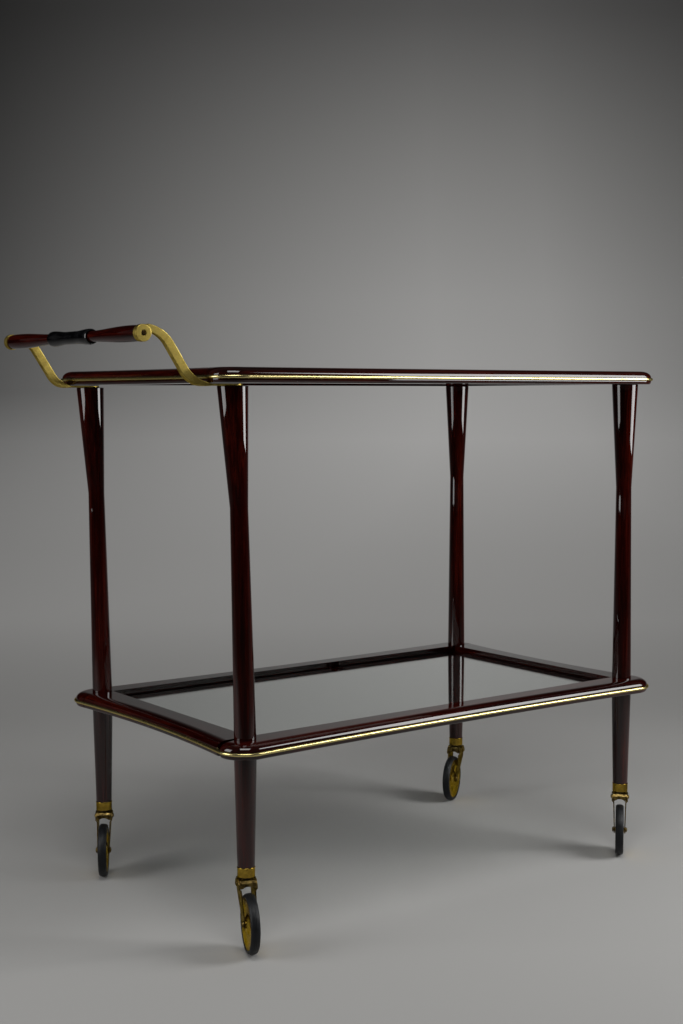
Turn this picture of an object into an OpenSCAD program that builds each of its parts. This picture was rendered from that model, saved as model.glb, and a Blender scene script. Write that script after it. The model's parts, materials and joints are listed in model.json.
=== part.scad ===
// Two-tier serving trolley: bow-sided wooden trays edged with a brass bead, glass panels,
// turned spindle legs, a turned grip on two swan-neck brass arms, and four swivel casters.
// Millimetres. Origin on the floor, midway between the four feet. +Z up, handle towards -X.

/* [Frame] */
// Distance between the feet along the trolley
leg_span_x = 668; // [600:4:760]
// Distance between the feet across the trolley
leg_span_y = 376; // [330:4:430]
// Height of the lower tray's underside
lower_tray_z = 243; // [216:0.5:286]
// Height of the top tray's underside
top_tray_z = 698; // [636:0.5:756]
// How far the two spindles at the handle lean outwards
rake_x = 13; // [0:1:20]
// How far the two spindles at the handle lean inwards across the trolley
rake_y = 2; // [0:0.5:3]

/* [Trays] */
// Thickness of the tray rails
tray_th = 19; // [17.5:0.5:22]
// Reach of a tray's corner beyond the foot's axis
overhang = 39; // [36:0.5:44]
// Radius of a tray's corners in plan
corner_r = 36; // [30:1:40]
// How far the long sides bow inwards
bow_long = 8; // [3:0.5:10]
// How far the ends bow inwards
bow_end = 10.5; // [3:0.5:12]
// Width of a rail at the middle of its side
rail_w = 41; // [38:0.5:44]
// Width of the quarter-round on a rail's upper edge
round_w = 14.5; // [10:0.5:16]
// Height of the brass bead's middle above the underside
bead_up = 7.3; // [6:0.1:8.5]
// Thickness of the brass bead
bead_d = 4.4; // [3:0.2:4.8]
// How far the bead's tongue is let into the rail
bead_tongue = 3; // [2:0.5:5]
// Length of the stub tenon at each end of an end rail
tenon_len = 10; // [6:1:14]
// Width of the stub tenon
tenon_w = 14; // [8:1:16]
// Thickness of the stub tenon
tenon_th = 7; // [5:0.5:8]

/* [Glass] */
// Thickness of a glass panel
glass_th = 4; // [3:0.5:6]
// Depth of the glass's face below the rails' top
glass_drop = 8.2; // [5:0.2:9]
// Width of the ledge that carries the glass
ledge_w = 8; // [5:0.5:12]
// Gap between the glass's edge and the rails
glass_gap = 0.5; // [0.3:0.1:1]

/* [Legs] */
// Diameter of a spindle under the top tray
spindle_top_d = 38.2; // [32:0.2:42]
// Diameter of a spindle at its waist
waist_d = 22.4; // [19:0.2:26]
// Diameter of a spindle on the lower tray
spindle_base_d = 27.8; // [27:0.2:32]
// Height of the waist above the lower tray's top
waist_up = 284; // [220:2:320]
// How far the waists of the two spindles at the handle stand inwards of their straight line
waist_set = 3; // [0:0.5:4]
// Diameter of the round tenon that enters the top tray
peg_d = 10; // [8:0.5:12]
// Height of that tenon above the tray's underside
peg_len = 12; // [8:1:14]
// Diameter of a foot under the lower tray
foot_top_d = 28.4; // [24:0.2:32]
// Diameter of a foot above its ferrule
foot_end_d = 22; // [20:0.2:23]
// Diameter of the steel stud that joins spindle, tray and foot
stud_d = 8; // [6:0.5:9]
// How far the stud enters the spindle and the foot
stud_in = 30; // [20:1:40]

/* [Handle] */
// Distance of the grip's axis from the spindle's top, along the trolley
grip_reach = 119; // [110:0.5:140]
// Height of the grip's axis above the top tray's underside
grip_up = 57.4; // [50:0.2:64]
// Width of an arm in side view below its boss
arm_w = 11; // [9:0.5:14]
// Thickness of an arm across the trolley
arm_t = 7.4; // [5:0.2:9]
// How far the arms stand inwards of the spindles that carry them
arm_in = 6.5; // [0:0.5:8]
// Steepest slope of an arm in degrees
arm_slope = 57; // [50:1:62]
// Radius of an arm's upper bend
bend_top_r = 42; // [36:1:46]
// Radius of an arm's lower bend
bend_low_r = 35; // [28:1:40]
// Thickness of the tab between the spindle and the tray
tab_t = 3; // [2:0.5:4]
// Diameter of the tab's eye around the spindle's tenon
eye_d = 24; // [18:1:30]
// Diameter of the round boss at the grip
boss_d = 20.4; // [18:0.2:24]
// Largest diameter of a grip half
grip_d = 19.8; // [17:0.2:22]
// Diameter of a grip half where it enters the sleeve
grip_neck_d = 13.2; // [12:0.2:13.6]
// Length of the black sleeve in the middle of the grip
sleeve_len = 108; // [90:2:150]
// Diameter of the sleeve's flared ends
sleeve_end_d = 19.6; // [19:0.2:22]
// Diameter of the sleeve at its middle
sleeve_mid_d = 16; // [14:0.2:17]
// Diameter of the rod through the grip
rod_d = 6; // [5:0.5:7]

/* [Casters] */
// Diameter of the wheels
wheel_d = 74; // [66:1:75]
// Width of the tyres
tyre_w = 12; // [10:0.5:12.5]
// Diameter of the brass wheel discs
disc_d = 63; // [56:1:64]
// Distance of the axle behind the swivel axis
trail = 24; // [18:1:28]
// Diameter of the axle
axle_d = 6; // [4:0.5:7]
// Width of the crown block between the fork plates
crown_w = 21; // [19:0.5:24]
// Depth of the crown block along the trail
crown_l = 26; // [20:1:28]
// Thickness of the crown block
crown_th = 9.6; // [8:0.2:10]
// Height of the crown block's top above the floor
crown_top = 87; // [86:0.5:90]
// Thickness of the fork plates
plate_t = 1.5; // [1:0.1:2]
// Diameter of the swivel stem
stem_d = 8; // [6:0.5:8.5]
// How far the stem's socket reaches up into the foot
socket_len = 40; // [30:1:55]
// Height of a ferrule
ferrule_h = 12.4; // [10:0.2:18]
// Swivel angle of the front caster at the handle, from +X
swivel_handle_front = 248.5; // [0:0.5:360]
// Swivel angle of the back caster at the handle
swivel_handle_back = 238.6; // [0:0.1:360]
// Swivel angle of the front caster at the far end
swivel_far_front = 222.8; // [0:0.1:360]
// Swivel angle of the back caster at the far end
swivel_far_back = 212.6; // [0:0.1:360]

/* [Hidden] */

$fn = 96;
// Facets of a full circle for the long, flat arcs of the tray sides
side_fn = 1440;
// Gap between fixed pieces that fit in one another
seat_gap = 0.05;
// Radial gap of a shaft that turns in its bore
run_gap = 0.05;
// Gap between faces that pass one another
pass_gap = 0.3;
// Surplus of a cutting shape beyond the face that it cuts
over = 2;

mahogany = "#4a120c";
brass = "#b8973f";
old_brass = "#8d7a4a";
steel = "#8f9296";
rubber = "#24262b";
black = "#0d0e12";

// Corner name, side along X and side across Y
CORNERS = [
    ["handle_front", -1, -1, swivel_handle_front],
    ["handle_back", -1, 1, swivel_handle_back],
    ["far_front", 1, -1, swivel_far_front],
    ["far_back", 1, 1, swivel_far_back],
];

leg_x = leg_span_x / 2;
leg_y = leg_span_y / 2;
lower_top = lower_tray_z + tray_th;

// Tray t is 0 for the lower one and 1 for the top one, which follows the leaning spindles
function tray_z(t) = t == 0 ? lower_tray_z : top_tray_z;
function tray_shift(t) = t == 0 ? 0 : -rake_x / 2;
function half_len(t) = leg_x + overhang - tray_shift(t);
half_wid = leg_y + overhang;

// Sides are arcs that meet the corner arcs smoothly: their radius, and the angle that the
// corner arc turns past square to meet them
function side_r(reach, bow) = round(10 * ((pow(reach - corner_r, 2) + pow(bow, 2)) / (2 * bow) - corner_r)) / 10;
function side_angle(reach, bow) = asin((reach - corner_r) / (side_r(reach, bow) + corner_r));

// Inner walls of the rails, from the tray's centre
function inner_x(t) = half_len(t) - bow_end - rail_w;
inner_y = half_wid - bow_long - rail_w;

// Corner arcs run on into the sides by this angle, with a section that is this much smaller
// all around, so that no two surfaces there coincide
run_on = 1.5;
corner_less = 0.05;

// Section of a rail's edge: each point is the distance in from the bead's nose, and the height.
// It stands proud of both faces by a spare height, which is trimmed off the whole tray.
bead_r = bead_d / 2;
bead_low = bead_up - bead_r;
bead_high = bead_up + bead_r;
wood_in = bead_r + 0.3;
lower_round_w = 2.8;
side_band_w = corner_r - 4;
corner_band_w = corner_r - 9;
edge_steps = 10;
// The rounds end this far beyond the faces, so that trimming gives them a clean edge
nip = 0.02;
flat_in = wood_in + round_w;
function edge_section(band_w, less, spare) =
    let (face = wood_in + less, low = bead_low - less, high = bead_high + less)
    concat(
        [[band_w, -spare], [face + lower_round_w, -spare]],
        [for (i = [0 : edge_steps]) let (a = 90 * i / edge_steps)
            [face + lower_round_w * (1 - sin(a)), low - (low + nip) * cos(a)]],
        [[face + bead_tongue, low], [face + bead_tongue, high]],
        [for (i = [0 : edge_steps]) let (a = 90 * i / edge_steps)
            [face + round_w * (1 - cos(a)), high + (tray_th + nip - high) * sin(a)]],
        [[face + round_w, tray_th + spare], [band_w, tray_th + spare]]
    );
function bead_section(less) =
    let (back = wood_in + bead_tongue - seat_gap - less, half = bead_r - seat_gap - less)
    concat(
        [[back, bead_up - half], [back, bead_up + half]],
        [for (i = [0 : edge_steps]) let (a = 90 - 180 * i / edge_steps)
            [less + bead_r * (1 - cos(a)), bead_up + half * sin(a)]]
    );

// Plan outline of tray t, moved in by a distance
function corner_points(t, inset) =
    let (
        fl = side_angle(half_len(t), bow_long),
        fe = side_angle(half_wid, bow_end),
        n = 8
    )
    [for (q = [0 : 3])
        let (
            sx = (q == 0 || q == 3) ? 1 : -1,
            sy = q < 2 ? 1 : -1,
            a0 = q * 90 - (q % 2 == 0 ? fe : fl),
            a1 = q * 90 + 90 + (q % 2 == 0 ? fl : fe)
        )
        for (i = [0 : n])
            let (a = a0 + (a1 - a0) * i / n)
            [sx * (half_len(t) - corner_r) + (corner_r - inset) * cos(a),
             sy * (half_wid - corner_r) + (corner_r - inset) * sin(a)]];

// Sweeps two sections around tray t, the first one along its sides and the second one around
// its corners. Their x is the distance in from the nose.
module around_tray(t) {
    fl = side_angle(half_len(t), bow_long);
    fe = side_angle(half_wid, bow_end);
    rl = side_r(half_len(t), bow_long);
    re = side_r(half_wid, bow_end);
    for (q = [0 : 3]) {
        sx = (q == 0 || q == 3) ? 1 : -1;
        sy = q < 2 ? 1 : -1;
        start = q * 90 - (q % 2 == 0 ? fe : fl);
        translate([sx * (half_len(t) - corner_r), sy * (half_wid - corner_r), 0])
            rotate([0, 0, start - run_on])
                rotate_extrude(angle = 90 + fl + fe + 2 * run_on)
                    translate([corner_r, 0]) mirror([1, 0]) children(1);
    }
    for (s = [-1, 1]) {
        translate([0, s * (half_wid - bow_long), 0])
            translate([0, s * rl, 0])
            rotate([0, 0, -s * 90 - fl])
                rotate_extrude(angle = 2 * fl, $fn = side_fn)
                    translate([rl, 0]) children(0);
        translate([s * (half_len(t) - bow_end), 0, 0])
            translate([s * re, 0, 0])
            rotate([0, 0, (s > 0 ? 180 : 0) - fe])
                rotate_extrude(angle = 2 * fe, $fn = side_fn)
                    translate([re, 0]) children(0);
    }
}

// Block centred in plan, from height z0 to z1
module slab(size_x, size_y, z0, z1) {
    translate([-size_x / 2, -size_y / 2, z0]) cube([size_x, size_y, z1 - z0]);
}

// Whole frame of tray t on its own centre, before it is parted into rails
module tray_frame(t) {
    ledge_th = tray_th - glass_drop - glass_th;
    difference() {
        intersection() {
            union() {
                around_tray(t) {
                    polygon(edge_section(side_band_w, 0, 0.4));
                    polygon(edge_section(corner_band_w, corner_less, 0.6));
                }
                translate([0, 0, -0.8]) linear_extrude(tray_th + 1.6) core_outline(t);
            }
            slab(4 * half_len(t), 4 * half_wid, 0, tray_th);
        }
        slab(2 * (inner_x(t) - ledge_w), 2 * (inner_y - ledge_w), -over, tray_th + over);
        slab(2 * inner_x(t), 2 * inner_y, ledge_th, tray_th + over);
    }
}

// Flat middle of the rails: it overlaps the swept edge behind the quarter-round
module core_outline(t) {
    side_steps = 10;
    inset = flat_in + 1;
    fl = side_angle(half_len(t), bow_long);
    fe = side_angle(half_wid, bow_end);
    rl = side_r(half_len(t), bow_long) + inset;
    re = side_r(half_wid, bow_end) + inset;
    corners = corner_points(t, inset);
    n = len(corners) / 4;
    top_side = [for (i = [1 : side_steps - 1]) let (a = -90 + fl - 2 * fl * i / side_steps)
        [rl * cos(a), half_wid - bow_long + rl - inset + rl * sin(a)]];
    left_side = [for (i = [1 : side_steps - 1]) let (a = fe - 2 * fe * i / side_steps)
        [-(half_len(t) - bow_end + re - inset) + re * cos(a), re * sin(a)]];
    polygon(concat(
        [for (i = [0 : n - 1]) corners[i]],
        top_side,
        [for (i = [n : 2 * n - 1]) corners[i]],
        left_side,
        [for (i = [2 * n : 3 * n - 1]) corners[i]],
        [for (p = top_side) -p],
        [for (i = [3 * n : 4 * n - 1]) corners[i]],
        [for (p = left_side) -p]
    ));
}

// Stub tenon of an end rail at end s of the trolley and side f across it, on the tray's centre
module stub(t, s, f, gap) {
    leg = s * leg_x - (s < 0 ? (t == 0 ? 0 : rake_x) : 0) - tray_shift(t);
    middle = leg + s * (stud_d / 2 + tenon_w / 2 + 3);
    ledge_th = tray_th - glass_drop - glass_th;
    low = ledge_th / 2;
    translate([middle - tenon_w / 2 - gap, f * (inner_y + tenon_len / 2) - tenon_len / 2 - over - gap,
               low - gap])
        cube([tenon_w + 2 * gap, tenon_len + 2 * over + 2 * gap, tenon_th + 2 * gap]);
}

module long_rail(t, f) {
    color(mahogany)
    translate([tray_shift(t), 0, tray_z(t)])
    difference() {
        intersection() {
            tray_frame(t);
            union() {
                translate([0, f * (inner_y + corner_r * 2), 0])
                    slab(3 * half_len(t), 4 * corner_r, -over, tray_th + over);
                translate([0, f * inner_y, 0])
                    slab(2 * (inner_x(t) - ledge_w - 2 * seat_gap), 3 * ledge_w, -over, tray_th + over);
            }
        }
        for (s = [-1, 1])
            intersection() {
                stub(t, s, f, seat_gap);
                translate([0, f * (inner_y + tenon_len / 2), 0])
                    slab(3 * half_len(t), tenon_len + 2 * seat_gap, -over, tray_th + over);
            }
        for (c = CORNERS)
            if (c[2] == f)
                translate([-tray_shift(t), 0, -tray_z(t)])
                    if (t == 0) stud_hole(c); else peg_hole(c);
    }
}

module end_rail(t, s) {
    color(mahogany)
    translate([tray_shift(t), 0, tray_z(t)])
    union() {
        intersection() {
            tray_frame(t);
            translate([s * (inner_x(t) - ledge_w + half_len(t)), 0, 0])
                slab(2 * half_len(t), 2 * inner_y, -over, tray_th + over);
        }
        for (f = [-1, 1])
            intersection() {
                stub(t, s, f, 0);
                slab(3 * half_len(t), 2 * (inner_y + tenon_len - seat_gap), -over, tray_th + over);
            }
    }
}

module tray_bead(t) {
    color(brass)
    translate([tray_shift(t), 0, tray_z(t)])
        around_tray(t) {
            polygon(bead_section(0));
            polygon(bead_section(corner_less));
        }
}

module tray_glass(t) {
    color("#b9c4c0", 0.45)
    translate([tray_shift(t), 0, tray_z(t) + tray_th - glass_drop - glass_th])
        slab(2 * (inner_x(t) - glass_gap), 2 * (inner_y - glass_gap), 0, glass_th);
}

// Points on a spindle's axis: its base on the lower tray, its head under the top tray or the
// arm's tab, and its waist
function base_point(c) = [c[1] * leg_x, c[2] * leg_y, lower_top];
function head_point(c) = c[1] > 0
    ? [leg_x, c[2] * leg_y, top_tray_z]
    : [-leg_x - rake_x, c[2] * (leg_y - rake_y), top_tray_z - tab_t];
function waist_point(c) =
    let (k = waist_up / (head_point(c)[2] - lower_top))
    base_point(c) + k * (head_point(c) - base_point(c)) + [c[1] > 0 ? 0 : waist_set, 0, 0];

// Places its child, drawn upwards along Z, on the line from one point to another
module on_line(a, b) {
    run = b - a;
    lean = acos(run[2] / norm(run));
    translate(a)
        rotate(a = lean, v = lean > 0 ? [-run[1], run[0], 0] : [0, 0, 1])
            children();
}

module stud_hole(c) {
    translate([c[1] * leg_x, c[2] * leg_y, lower_tray_z - stud_in - 1])
        cylinder(d = stud_d + 2 * seat_gap, h = tray_th + 2 * stud_in + 2);
}

module peg_hole(c) {
    run = norm(head_point(c) - waist_point(c));
    on_line(waist_point(c), head_point(c))
        translate([0, 0, run - 2 * tab_t - over])
            cylinder(d = peg_d + 2 * seat_gap, h = 2 * tab_t + over + peg_len + (c[1] < 0 ? tab_t : 0) + 0.5);
}

// Round taper between two points of a spindle's axis, run on at both ends
module taper(a, b, d_a, d_b) {
    run = norm(b - a);
    change = (d_b - d_a) / run * over;
    on_line(a, b)
        translate([0, 0, -over])
            cylinder(d1 = d_a - change, d2 = d_b + change, h = run + 2 * over);
}

// Two tapers that meet at the waist, cut level at both ends, with a tenon on top
module spindle(c) {
    head = head_point(c);
    rim_r = spindle_top_d / 2 - 0.9;
    wide = 4 * spindle_top_d;
    peg_run = peg_len + (c[1] < 0 ? tab_t : 0);
    color(mahogany)
    difference() {
        union() {
            intersection() {
                union() {
                    taper(base_point(c), waist_point(c), spindle_base_d, waist_d);
                    taper(waist_point(c), head, waist_d, spindle_top_d);
                }
                translate([head[0], head[1], 0])
                    rotate_extrude()
                        polygon([
                            [0, lower_top], [wide, lower_top], [wide, head[2] - wide + rim_r],
                            [rim_r, head[2]], [0, head[2]]
                        ]);
            }
            on_line(waist_point(c), head)
                translate([0, 0, norm(head - waist_point(c)) - 2 * over])
                    cylinder(d = peg_d, h = peg_run + 2 * over);
        }
        stud_hole(c);
    }
}

// A foot tapers to its ferrule, below which a spigot fits inside
collar_h = 2.4;
ferrule_low = crown_top + collar_h + pass_gap;
ferrule_top = ferrule_low + ferrule_h;
ferrule_wall = 1;
ferrule_d = foot_end_d + 0.4;
spigot_low = ferrule_low + 1.2 + seat_gap;
spigot_d = ferrule_d - 2 * ferrule_wall - 2 * seat_gap;
socket_d = stem_d + 2;

module foot(c) {
    color(mahogany)
    difference() {
        translate([c[1] * leg_x, c[2] * leg_y, 0])
            rotate_extrude()
                polygon([
                    [0, spigot_low], [spigot_d / 2, spigot_low], [spigot_d / 2, ferrule_top],
                    [foot_end_d / 2, ferrule_top], [foot_top_d / 2, lower_tray_z], [0, lower_tray_z]
                ]);
        stud_hole(c);
        translate([c[1] * leg_x, c[2] * leg_y, spigot_low - over])
            cylinder(d = socket_d + 2 * seat_gap, h = socket_len + over + seat_gap);
    }
}

module leg_studs() {
    color(steel)
    for (c = CORNERS)
        translate([c[1] * leg_x, c[2] * leg_y, lower_tray_z - stud_in])
            cylinder(d = stud_d, h = tray_th + 2 * stud_in);
}

module ferrules() {
    lip = 0.3;
    color(brass)
    for (c = CORNERS)
        translate([c[1] * leg_x, c[2] * leg_y, 0])
            rotate_extrude()
                polygon([
                    [stem_d / 2 + pass_gap, ferrule_low], [ferrule_d / 2 - 0.8, ferrule_low],
                    [ferrule_d / 2, ferrule_low + 0.8], [ferrule_d / 2, ferrule_top - 1.6],
                    [ferrule_d / 2 + lip, ferrule_top - 1.1], [ferrule_d / 2 + lip, ferrule_top - 0.4],
                    [ferrule_d / 2, ferrule_top], [ferrule_d / 2 - ferrule_wall, ferrule_top],
                    [ferrule_d / 2 - ferrule_wall, ferrule_low + 1.2],
                    [stem_d / 2 + pass_gap, ferrule_low + 1.2]
                ]);
}

module stem_sockets() {
    cap = 1.5;
    color(steel)
    for (c = CORNERS)
        translate([c[1] * leg_x, c[2] * leg_y, spigot_low])
            difference() {
                cylinder(d = socket_d, h = socket_len);
                translate([0, 0, -over])
                    cylinder(r = stem_d / 2 + run_gap, h = socket_len - cap + over);
            }
}

// Side view of an arm: its middle line runs from the boss over two bends down to the tab
grip_x = -leg_x - rake_x - grip_reach;
grip_z = top_tray_z + grip_up;
arm_y = leg_y - rake_y - arm_in;
first_slope = 8;
arm_start = [grip_x + 6, grip_z + 6.4];
// Depth of an arm at the boss, as a share of its full depth
start_share = 0.78;
tab_mid = top_tray_z - tab_t / 2;
bend_top_end = arm_start + bend_top_r * [sin(arm_slope) - sin(first_slope),
                                         cos(arm_slope) - cos(first_slope)];
bend_low_drop = bend_low_r * (1 - cos(arm_slope));
straight_len = (bend_top_end[1] - tab_mid - bend_low_drop) / sin(arm_slope);
bend_low_start = bend_top_end + straight_len * [cos(arm_slope), -sin(arm_slope)];
bend_low_end = bend_low_start + [bend_low_r * sin(arm_slope), -bend_low_drop];
bend_steps = 12;
// Each station: point on the middle line, slope there, half thickness
arm_stations = concat(
    [for (i = [0 : bend_steps]) let (a = first_slope + (arm_slope - first_slope) * i / bend_steps)
        [arm_start + bend_top_r * [sin(a) - sin(first_slope), cos(a) - cos(first_slope)], a,
         arm_w / 2 * (start_share + (1 - start_share) * i / bend_steps)]],
    [for (i = [0 : bend_steps]) let (a = arm_slope * (1 - i / bend_steps), k = i / bend_steps)
        [bend_low_start + bend_low_r * [sin(arm_slope) - sin(a), cos(arm_slope) - cos(a)], a,
         arm_w / 2 + (tab_t - arm_w) / 2 * pow(k, 1.5)]]
);
arm_upper = [for (s = arm_stations) s[0] + s[2] * [sin(s[1]), cos(s[1])]];
arm_lower = [for (s = arm_stations) s[0] - s[2] * [sin(s[1]), cos(s[1])]];
tab_end_x = -leg_x - rake_x;

module arm_side() {
    n = len(arm_stations) - 1;
    rotate([90, 0, 0])
        linear_extrude(4 * eye_d, center = true)
            polygon(concat(
                [[arm_start[0] - 2, grip_z - 2]],
                [arm_start + [-3, arm_stations[0][2]]],
                arm_upper,
                [[tab_end_x + eye_d, top_tray_z], [tab_end_x + eye_d, top_tray_z - tab_t]],
                [for (i = [n : -1 : 0]) arm_lower[i]]
            ));
}

// Plan view of an arm: a bar whose tab widens outwards into the eye around the spindle's tenon
module arm_plan(f) {
    flare_w = eye_d * 0.36;
    translate([0, 0, lower_top])
        linear_extrude(top_tray_z) {
            polygon([
                [grip_x - 1, -f * arm_t / 2], [bend_low_end[0], -f * arm_t / 2],
                [tab_end_x, f * (arm_in - eye_d / 2)], [tab_end_x, f * (arm_in + eye_d / 2)],
                [bend_low_end[0], f * (arm_in + flare_w)], [bend_low_start[0], f * arm_t / 2],
                [grip_x - 1, f * arm_t / 2]
            ]);
            translate([tab_end_x, f * arm_in]) circle(d = eye_d);
        }
}

screw_d = 4;
screw_head_d = 6.2;
screw_head_h = 1.4;
boss_t = arm_t + 0.3;

// Boss of an arm, drawn along +Z from the arm's inner face, with turned rings on the outer one
module boss() {
    rotate_extrude()
        polygon([
            [screw_d / 2 + 0.15, 0], [boss_d / 2, 0], [boss_d / 2, boss_t - 0.6],
            [boss_d / 2 - 0.6, boss_t], [boss_d / 2 - 2.2, boss_t], [boss_d / 2 - 2.5, boss_t - 0.4],
            [boss_d / 2 - 3.3, boss_t - 0.4], [boss_d / 2 - 3.6, boss_t],
            [screw_head_d / 2 + 0.6, boss_t], [screw_head_d / 2 + 0.3, boss_t - 0.7],
            [screw_d / 2 + 0.15, boss_t - 0.7]
        ]);
}

module handle_arm(f) {
    c = f < 0 ? CORNERS[0] : CORNERS[1];
    color(brass)
    difference() {
        union() {
            translate([0, f * arm_y, 0])
                intersection() {
                    arm_side();
                    arm_plan(f);
                }
            translate([grip_x, f * (arm_y - arm_t / 2), grip_z])
                rotate([-f * 90, 0, 0]) boss();
        }
        translate([grip_x, f * arm_y, grip_z])
            rotate([90, 0, 0]) cylinder(d = screw_d + 0.3, h = 3 * arm_t, center = true);
        tab_hole(c);
    }
}

module tab_hole(c) {
    translate([head_point(c)[0], head_point(c)[1], top_tray_z - 2 * tab_t])
        cylinder(d = peg_d + 0.6, h = 3 * tab_t);
}

grip_end = arm_y - arm_t / 2;
socket_in = 8;
grip_inner = sleeve_len / 2 - socket_in;
swell_at = 0.8;

// Radius of a grip half at k, from 0 in the sleeve to 1 at the arm
function grip_r(k) =
    let (end_d = grip_d * 0.9)
    k < swell_at
        ? grip_neck_d / 2 + (grip_d - grip_neck_d) / 2 * (1 - cos(180 * k / swell_at)) / 2
        : end_d / 2 + (grip_d - end_d) / 2 * sqrt(1 - pow((k - swell_at) / (1 - swell_at), 2));

module grip_half(f) {
    steps = 26;
    run = grip_end - seat_gap - grip_inner;
    color(mahogany)
    translate([grip_x, f * grip_inner, grip_z])
        rotate([-f * 90, 0, 0])
            difference() {
                rotate_extrude()
                    polygon(concat(
                        [[0, 0]],
                        [for (i = [0 : steps]) [grip_r(i / steps), run * i / steps]],
                        [[0, run]]
                    ));
                translate([0, 0, -over]) cylinder(d = rod_d + 2 * seat_gap, h = run + 2 * over);
            }
}

// Radius of the sleeve at k, from 0 in the middle to 1 at its end
function sleeve_r(k) =
    k < 0.9
        ? sleeve_mid_d / 2 + (sleeve_end_d - sleeve_mid_d) / 2 * pow(sin(90 * max(0, k - 0.25) / 0.65), 2)
        : sleeve_end_d / 2 - 1.2 * (1 - sqrt(1 - pow((k - 0.9) / 0.1, 2)));

module grip_sleeve() {
    // Gap between the sleeve's bore and the wood that enters it
    cup_gap = 1.2;
    steps = 40;
    half = sleeve_len / 2;
    color(black)
    translate([grip_x, 0, grip_z])
        rotate([90, 0, 0])
            difference() {
                rotate_extrude()
                    polygon(concat(
                        [[0, -half]],
                        [for (i = [-steps : steps]) [sleeve_r(abs(i) / steps), half * i / steps]],
                        [[0, half]]
                    ));
                cylinder(d = rod_d + 2 * seat_gap, h = sleeve_len + 2 * over, center = true);
                for (s = [-1, 1])
                    translate([0, 0, s * (half - socket_in / 2 + over / 2)])
                        cylinder(d = grip_neck_d + 2 * cup_gap, h = socket_in + over, center = true);
            }
}

screw_in = 12;

module grip_rod() {
    run = 2 * (grip_end - seat_gap);
    color(steel)
    translate([grip_x, 0, grip_z])
        rotate([90, 0, 0])
            difference() {
                cylinder(d = rod_d, h = run, center = true);
                for (s = [-1, 1])
                    translate([0, 0, s * run / 2])
                        cylinder(d = screw_d + 2 * seat_gap, h = 2 * (screw_in + 1), center = true);
            }
}

module grip_screws() {
    slot_w = 1;
    color(old_brass)
    for (f = [-1, 1])
        translate([grip_x, f * (grip_end + boss_t - 0.7), grip_z])
            rotate([-f * 90, 0, 0])
                difference() {
                    rotate_extrude()
                        polygon([
                            [0, -boss_t - screw_in], [screw_d / 2, -boss_t - screw_in],
                            [screw_d / 2, 0], [screw_head_d / 2, 0],
                            [screw_head_d / 2, screw_head_h * 0.6],
                            [screw_head_d / 2 - 0.9, screw_head_h], [0, screw_head_h]
                        ]);
                    rotate([0, 0, 35])
                        translate([-screw_head_d, -slot_w / 2, screw_head_h * 0.45])
                            cube([2 * screw_head_d, slot_w, screw_head_h]);
                }
}

// Puts a caster's own frame in place: +X trails, Y is the axle, Z stays up
module at_caster(c) {
    translate([c[1] * leg_x, c[2] * leg_y, 0]) rotate([0, 0, c[3]]) children();
}

// Extrudes an outline drawn in the plane of width and height along the trail
module along_trail(depth) {
    rotate([90, 0, 90]) linear_extrude(depth, center = true) children();
}

// Extrudes an outline drawn in the plane of trail and height along the axle
module along_axle(width) {
    rotate([90, 0, 0]) linear_extrude(width, center = true) children();
}

crown_low = crown_top - crown_th;
arch_rise = 2.5;
arch_half = 6.5;
seat_z = crown_low + arch_rise;
rivet_z = crown_low + 3.4;
rivet_d = 3.6;
rivet_in = 4;
axle_z = wheel_d / 2;

module stem(c) {
    head_r = stem_d / 2 + 1;
    color(steel)
    at_caster(c)
        rotate_extrude()
            polygon([
                [0, seat_z - 1.3], [head_r - 0.4, seat_z - 1.3], [head_r, seat_z - 0.9],
                [head_r, seat_z], [stem_d / 2, seat_z],
                [stem_d / 2, crown_top], [stem_d, crown_top], [stem_d, crown_top + collar_h],
                [stem_d / 2, crown_top + collar_h], [stem_d / 2, spigot_low + socket_len - 5],
                [stem_d / 2 - 1, spigot_low + socket_len - 4], [0, spigot_low + socket_len - 4]
            ]);
}

module crown(c) {
    arch_r = (pow(arch_half, 2) + pow(arch_rise, 2)) / (2 * arch_rise);
    bevel = 2;
    color(old_brass)
    at_caster(c)
        difference() {
            intersection() {
                along_trail(crown_l)
                    difference() {
                        translate([-crown_w / 2, crown_low]) square([crown_w, crown_th]);
                        translate([0, seat_z - arch_r]) circle(r = arch_r);
                    }
                along_axle(crown_w)
                    polygon([
                        [-crown_l / 2, crown_low], [crown_l / 2, crown_low],
                        [crown_l / 2, crown_top - bevel * 1.5], [crown_l / 2 - bevel, crown_top],
                        [-crown_l / 2 + bevel, crown_top], [-crown_l / 2, crown_top - bevel * 1.5]
                    ]);
            }
            translate([0, 0, crown_low - over])
                cylinder(r = stem_d / 2 + 1 + seat_gap * 2, h = arch_rise + over);
            translate([0, 0, crown_low]) cylinder(d = stem_d + 2 * seat_gap, h = crown_th + over);
            for (s = [-1, 1])
                translate([0, s * crown_w / 2, rivet_z])
                    rotate([90, 0, 0])
                        cylinder(d = rivet_d + 2 * seat_gap, h = 2 * (rivet_in + 0.2), center = true);
        }
}

// Fork plates: outer faces from the crown's sides, set in below it, down to the axle
joggle = 2.3;
hub_half = tyre_w / 2 + 0.5;
plate_axle_in = hub_half + pass_gap + 0.1;
plate_section = [
    [crown_w / 2, crown_top + 3], [crown_w / 2 + plate_t, crown_top + 3],
    [crown_w / 2 + plate_t, crown_low], [crown_w / 2 + plate_t - joggle, crown_low - 3],
    [plate_axle_in + plate_t, axle_z], [plate_axle_in + plate_t, 0],
    [plate_axle_in, 0], [plate_axle_in, axle_z],
    [crown_w / 2 - joggle, crown_low - 3], [crown_w / 2, crown_low]
];
ear_r = crown_l / 2;
ear_z = crown_top + 1 - ear_r;
eye_r = axle_d / 2 + 2.6;

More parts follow.
